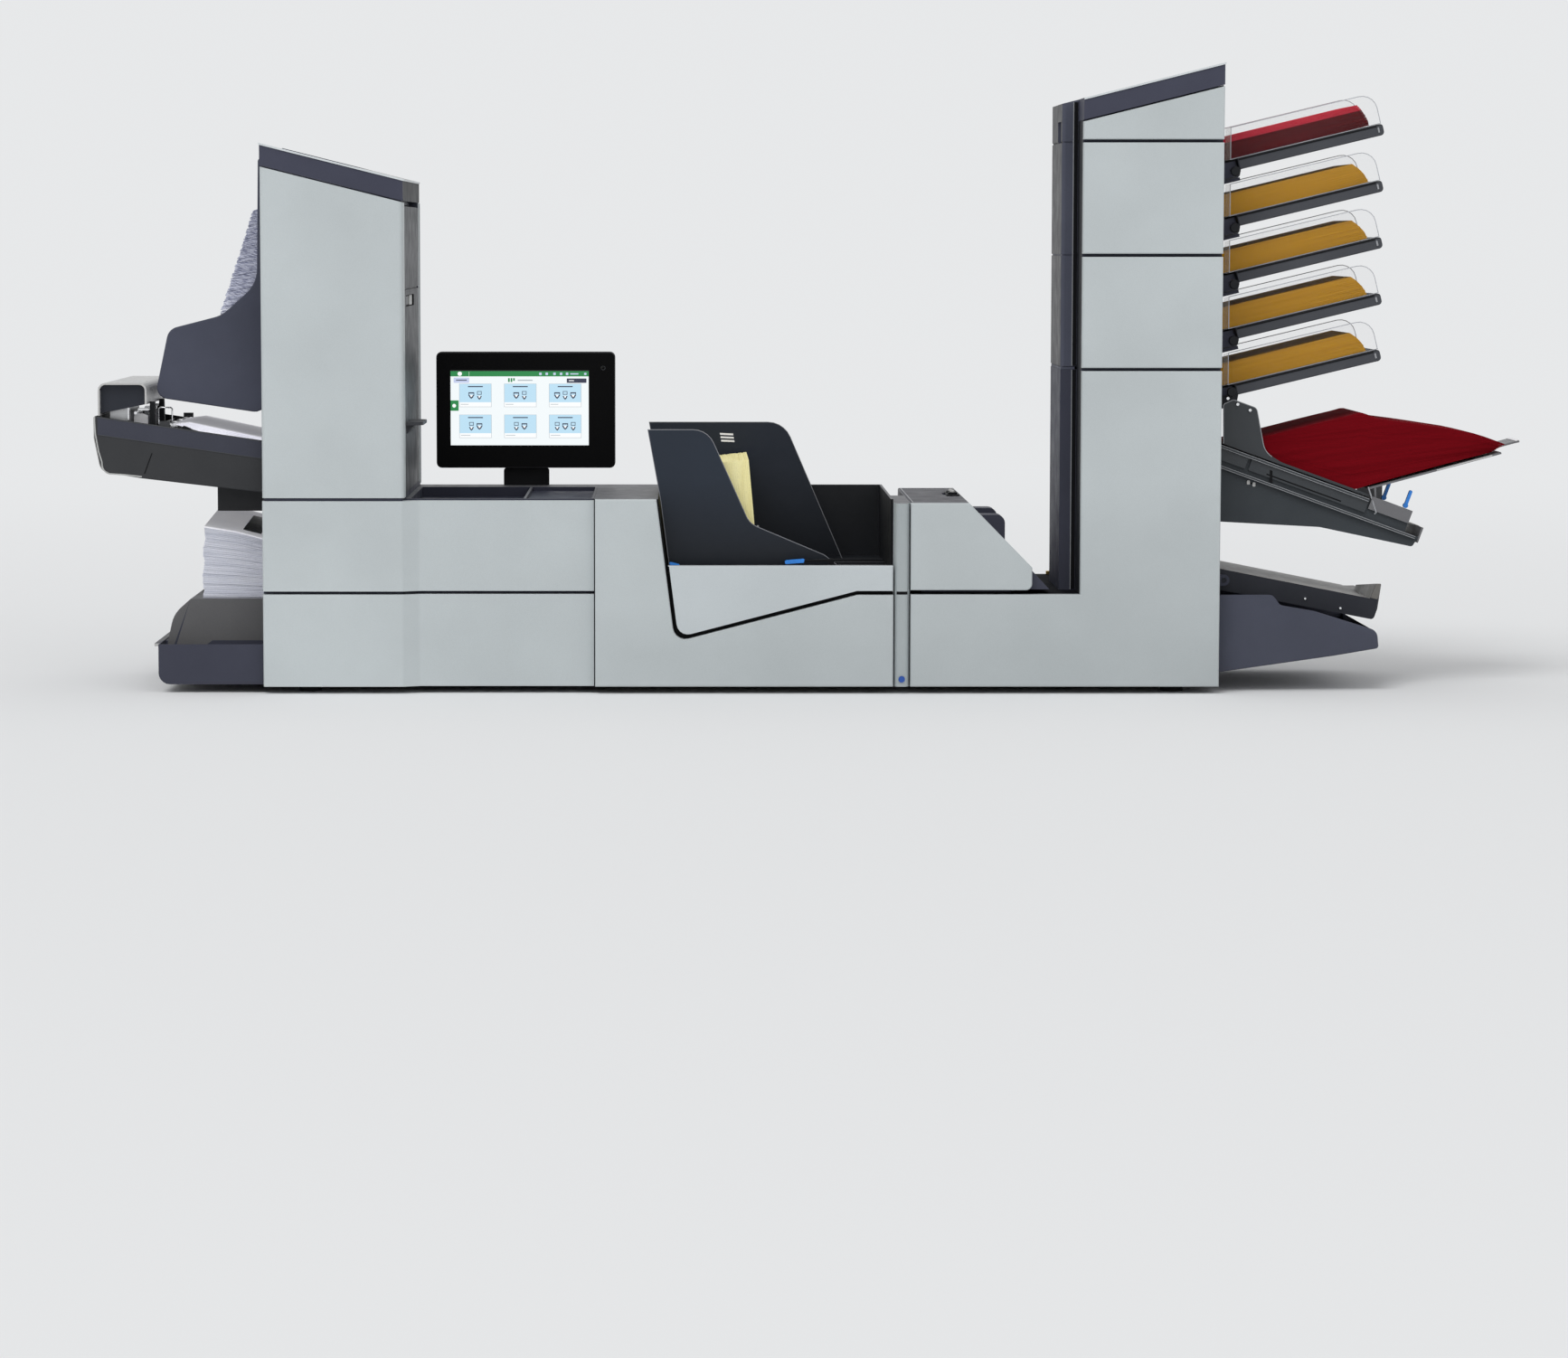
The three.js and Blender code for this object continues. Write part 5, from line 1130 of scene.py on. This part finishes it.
def exit_inside():
    """Guide box, blocks, rods, wire stop, posts, ramps and belts on the exit unit's bed."""
    build = Build(STEEL)
    build.run_y([(-250.5, bed(-250)), (-222, bed(-222)), (-222, 453), (-250.5, 453)], 92, 250)
    build.run_y(soft_box(-221.6, 427, -218.6, 455, 1.2), 84, 92, CHROME)
    for y in (104, 200, 310):
        block = [(-213.5, bed(-213)), (-191, bed(-191)), (-191, 439), (-200, 442), (-213.5, 442)]
        build.run_y(block, y, y + 26, SHEET)
        build.run_y(soft_box(-207.5, 446.6, -189.4, 450.2, 1.4), y, y + 14, CHROME)
        build.run_y(box_outline(-200, 441, -197, 447), y + 4, y + 10, BLACK)
    for x, z, radius, finish in (
        (-207, 444, 2.6, CHROME),
        (-184, bed(-184) + 7, 2.4, BLACK),
        (-172, bed(-172) + 5, 2.4, CHROME),
    ):
        build.rod([(x, 70, z), (x, 418, z)], radius, 16, finish)
    wire = [(-178, bed(-178)), (-178, 447.6), (-176, 450)]
    wire += [(-158, 450), (-156, 448), (-156.4, 428.4)]
    build.rod([(x, 140, z) for x, z in wire], 1.2, 8, CHROME)
    post = [(-189.3, bed(-189)), (-178.3, bed(-178)), (-179.6, 461), (-187.4, 461)]
    for y in (100, 232):
        build.run_y(post, y, y + 12, BLACK)
    for y in (96, 168, 240, 312, 384):
        ramp = [(x, bed(x) + lift) for x, lift in ((-149, 0), (-104, 0), (-112, 11), (-133, 17.5))]
        build.run_y(ramp, y, y + 9, BLACK)
        roller = (-126, y + 14, bed(-126) + 9)
        build.turned(roller, "y", [(-3, 1), (-3, 6), (3, 6), (3, 1)], 20, CHROME)
        belt = [(x, bed(x) + lift) for x, lift in ((-100, 0.2), (-8, 0.2), (-8, 0.35), (-100, 1.6))]
        build.run_y(belt, y + 8, y + 20, BLACK)
    build.done("exit_inside", "machine", 0.3)


def exit_band():
    """The exit unit's lighter upper band with its two lines, the upper one a painted highlight, and
    the seam below it.
    """
    left, right = -267, -2

    def band(first, last):
        low = [(x, exit_top(x) - last) for x in (left, right)]
        return low + [(x, exit_top(x) - first) for x in (right, left)]

    build = Build(EXIT_UP)
    build.run_y(band(2.2, 28.4), EXIT_FACE, EXIT_SKIN)
    # The upper line is a painted highlight along the top edge; the lower one is a seam line
    for first, last in ((0.6, 1.9), (28.4, 29.4)):
        build.run_y(band(first, last), EXIT_FACE - 0.2, EXIT_SKIN, GREY)
    top = exit_top(-181) - 46
    seam = [(-181, top), (-179.6, top), (-192, 347), (-193.4, 347)]
    build.run_y(seam, EXIT_FACE, EXIT_SKIN + 0.2, DEEP)
    build.done("exit_band", "machine")


def exit_rim():
    """The light rim down the shell's outer end and along its rounded foot."""
    path = [(-272.6, 438), (-272.6, 430), (-271.4, 410), (-266.5, 382), (-261.6, 366)]
    path += arc(-245, 362, 16.4, 188, 256, 5) + [(-226, 344.6), (-197, 341.4)]
    width = 2.2
    inner = []
    for i, (x, z) in enumerate(path):
        a, b = Vector(path[max(i - 1, 0)]), Vector(path[min(i + 1, len(path) - 1)])
        d = (b - a).normalized()
        inner.append((x - d.y * width, z + d.x * width))
    slab("exit_rim", "machine", path + inner[::-1], 59.0, 60.8, TOP_PLATE)


left_paper()
exit_inside()
exit_band()
exit_rim()


# Small trim on delivery deck, fold unit and doors
def delivery_pins():
    build = Build(CHROME)
    pin = [(-3.2, 0.5), (-3.2, 1.7), (-2.4, 2.3), (0.5, 2.3), (0.5, 0.5)]
    for x, z in ((1667.9, 145.0), (1724.8, 129.5)):
        build.turned((x, 90, z), "y", pin, 20)
    build.done("delivery_pins", "delivery_table")


def fold_latch():
    """A long plate with two finger pads, each with its knob."""
    build = Build(DEEP)
    build.run_z(soft_box(1098, 214, 1119, 302, 3), 303.2, 305.4)
    knob = [(308, 0.5), (308, 4.6), (311, 4.2), (311.6, 3.2), (311.6, 0.5)]
    for y in (226, 262):
        build.run_z(soft_box(1101, y, 1116, y + 24, 4), 305, 308.4)
        build.turned((1108.5, y + 12, 0), "z", knob, 20, SILVER)
    build.done("fold_latch", "fold_lid", 0.4)


def fold_lid_highlights():
    """Painted highlights along three edges of the fold lid."""
    build = Build(LINE)
    top = 303.9
    for y in (16.2, 439.8):
        build.run_y(box_outline(1034, 302.9, 1120, top), y, y + 1.6)
    build.run_y(box_outline(1032.6, 302.6, 1034.2, top), 18, 441)
    build.done("fold_lid_highlights", "fold_lid")


def door_catch():
    """The catch and the paddle's plate in the left door's slot."""
    build = Build(GIRDER)
    build.run_x(soft_box(76, 615, 196, 629, 2), 220.2, 222.0)
    build.run_x(soft_box(204, 614, 280, 630, 2), 220.2, 223.6, TOP_PLATE)
    build.done("door_catch", "left_door", 0.3)


def rebate_highlight_and_shade(name, body, low, high):
    """A painted highlight along the right door's edge and painted shadow in its rebate, from low to
    high.
    """
    build = Build(LINE)
    left, middle, right, back = 1290.6, 1291.9, 1298.4, 105.1
    build.run_y(box_outline(left, low, middle, high), 104.6, back)
    build.run_y(box_outline(middle, low, right, high), 104.7, back, DEEP)
    build.done(name, body)


DECK_WING = [(1773, 146.4), (1784, 143.4), (1786.8, 148)]
DECK_WING += [(1789.4, 166.4), (1788, 168.4), (1782, 168.4)]
BRASS_STRIP = box_outline(1279, 158.2, 1294, 164)
REAR_EDGE = box_outline(225.6, 312.5, 227.4, 779.6)
DOOR_SILL = box_outline(1273.6, 512.4, 1296, 516.9)

delivery_pins()
slab("delivery_wing", "delivery_table", DECK_WING, 89.2, 90.1, WING, 0.3)
fold_latch()
fold_lid_highlights()
door_catch()
slab("brass_strip", "machine", BRASS_STRIP, 444, 452, BRASS, 0.4)
# The rear edge in the darker panel paint: painted shade
slab("rear_edge", "machine", REAR_EDGE, 438, 457, PANEL_SHADE, 0.4)
slab("door_sill", "machine", DOOR_SILL, 106, 299, DOOR_EDGE, 0.4)
rebate_highlight_and_shade("right_door_highlight_and_shade", "right_door", 518, 938)
rebate_highlight_and_shade("right_frame_highlight_and_shade", "machine", 159, 512)


# The display's picture, in millimetres right of and below the display's corner
PAGE = lit("ui_page", (244, 250, 252))
HEADER = lit("ui_header", (20, 132, 66))
TILE = lit("ui_tile", (190, 226, 246))
CARD = lit("ui_card", (252, 254, 255))
INK = lit("ui_dark", (42, 46, 72))
LILAC = lit("ui_button", (198, 208, 238))
SHADE = lit("ui_grey", (176, 184, 190))
LEVEL = 0.1
LAYER = 0.08


def field(build, u0, v0, u1, v1, finish, level, radius=0.0):
    """A rectangle of the picture; a higher level lies in front."""
    corners = DISPLAY_LEFT + u0, DISPLAY_TOP - v1, DISPLAY_LEFT + u1, DISPLAY_TOP - v0
    outline = soft_box(*corners, radius) if radius else box_outline(*corners)
    front = DISPLAY_FACE - LEVEL * level
    build.run_y(outline, front, front + LAYER, finish)


def pocket_sign(build, u, v, half, level):
    """A plain pictogram of a pocket: a shallow shield with a lighter middle."""
    x, z = DISPLAY_LEFT + u, DISPLAY_TOP - v
    shield = ((-1, 2.4), (-0.55, -1.6), (0, -4), (0.55, -1.6), (1, 2.4))
    middle = ((-0.5, 2.6), (-0.28, 0), (0, -1.2), (0.28, 0), (0.5, 2.6))
    front = DISPLAY_FACE - LEVEL * level
    for shares, face, finish in ((shield, front, INK), (middle, front - LEVEL, CARD)):
        outline = [(x + half * share, z + rise) for share, rise in shares]
        build.run_y(outline, face, face + LAYER, finish)


# Fields that are there once: header, title row and the tab at the left
FIELDS = (
    (0.8, 0.8, 231.6, 124.6, PAGE, 1),
    (0.8, 0.8, 231.6, 9.6, HEADER, 2),
    (12.6, 1.6, 20, 8.8, CARD, 3, 3.6),
    (31.6, 1.4, 32, 9.0, CARD, 3),
    *((u, 3.2, u + 4.2, 7.4, LILAC, 3, 1) for u in (149, 159.5, 172.5, 183.5, 193.5)),
    (201, 4.4, 214.5, 6.4, LILAC, 3),
    (224, 3.6, 228, 7.2, LILAC, 3, 1),
    (6, 11.6, 32, 20.4, LILAC, 2, 1),
    (10, 15, 28, 16.6, INK, 3),
    *((97 + 4.2 * i, 12.4, 99.8 + 4.2 * i, 19 - 2 * (i == 2), HEADER, 2, 0.6) for i in range(3)),
    (113, 15, 138, 17, SHADE, 2, 0.6),
    (195, 13, 228, 20.4, INK, 2, 0.8),
    (198.5, 16, 207, 17.4, CARD, 3),
    (0.8, 49.6, 14.2, 67, HEADER, 2),
    (3.6, 55.4, 9.8, 61.6, CARD, 3, 3),
)


def tile(build, u, v, row, count):
    """A tile with its title, its foot bar and count small signs."""
    field(build, u - 0.6, v, u + 53.4, v + 39, SHADE, 2)
    field(build, u, v + 0.4, u + 52.8, v + 38.4, CARD, 3)
    field(build, u, v + 0.4, u + 52.8, v + 31, TILE, 4)
    field(build, u + 14, v + 4, u + 39, v + 5.8, INK, 5)
    field(build, u + 2, v + 34, u + 15 + 3 * row, v + 35, SHADE, 4)
    for i in range(count):
        left = u + 26.4 + 13.4 * (i - (count - 1) / 2) - 4.8
        if (i + row) % 2:
            field(build, left + 1, v + 12.5, left + 8.6, v + 18.4, INK, 5)
            field(build, left + 2, v + 13.5, left + 7.6, v + 17.4, TILE, 6)
            pocket_sign(build, left + 4.8, v + 23, 4.2, 5)
        else:
            pocket_sign(build, left + 4.8, v + 21.4, 5, 5)
            field(build, left, v + 14.4, left + 9.6, v + 16.4, INK, 5)
            field(build, left, v + 16.4, left + 1.2, v + 20, INK, 5)
            field(build, left + 8.4, v + 16.4, left + 9.6, v + 20, INK, 5)


def display_picture():
    build = Build(PAGE)
    for values in FIELDS:
        field(build, *values)
    for row, v in enumerate((21.7, 73.4)):
        for u, count in ((15.8, 2), (90.9, 2), (165.9, 3)):
            tile(build, u, v, row, count)
    build.done("display_picture", "screen")


def power_sign():
    """A ring with a short bar, on the bezel."""
    build = Build(GREY)
    x, z = 534.4, 506.0
    front, back = DISPLAY_FACE - 0.12, DISPLAY_FACE + 0.02
    outer = arc(x, z, 3.6, 125, 415, 20)
    inner = arc(x, z, 2.9, 125, 415, 20)
    for a, b, c, d in zip(outer, outer[1:], inner, inner[1:]):
        build.run_y([a, b, d, c], front, back)
    build.run_y(box_outline(x - 0.35, z + 0.4, x + 0.35, z + 3.9), front, back)
    build.done("power_sign", "screen")


display_picture()
power_sign()
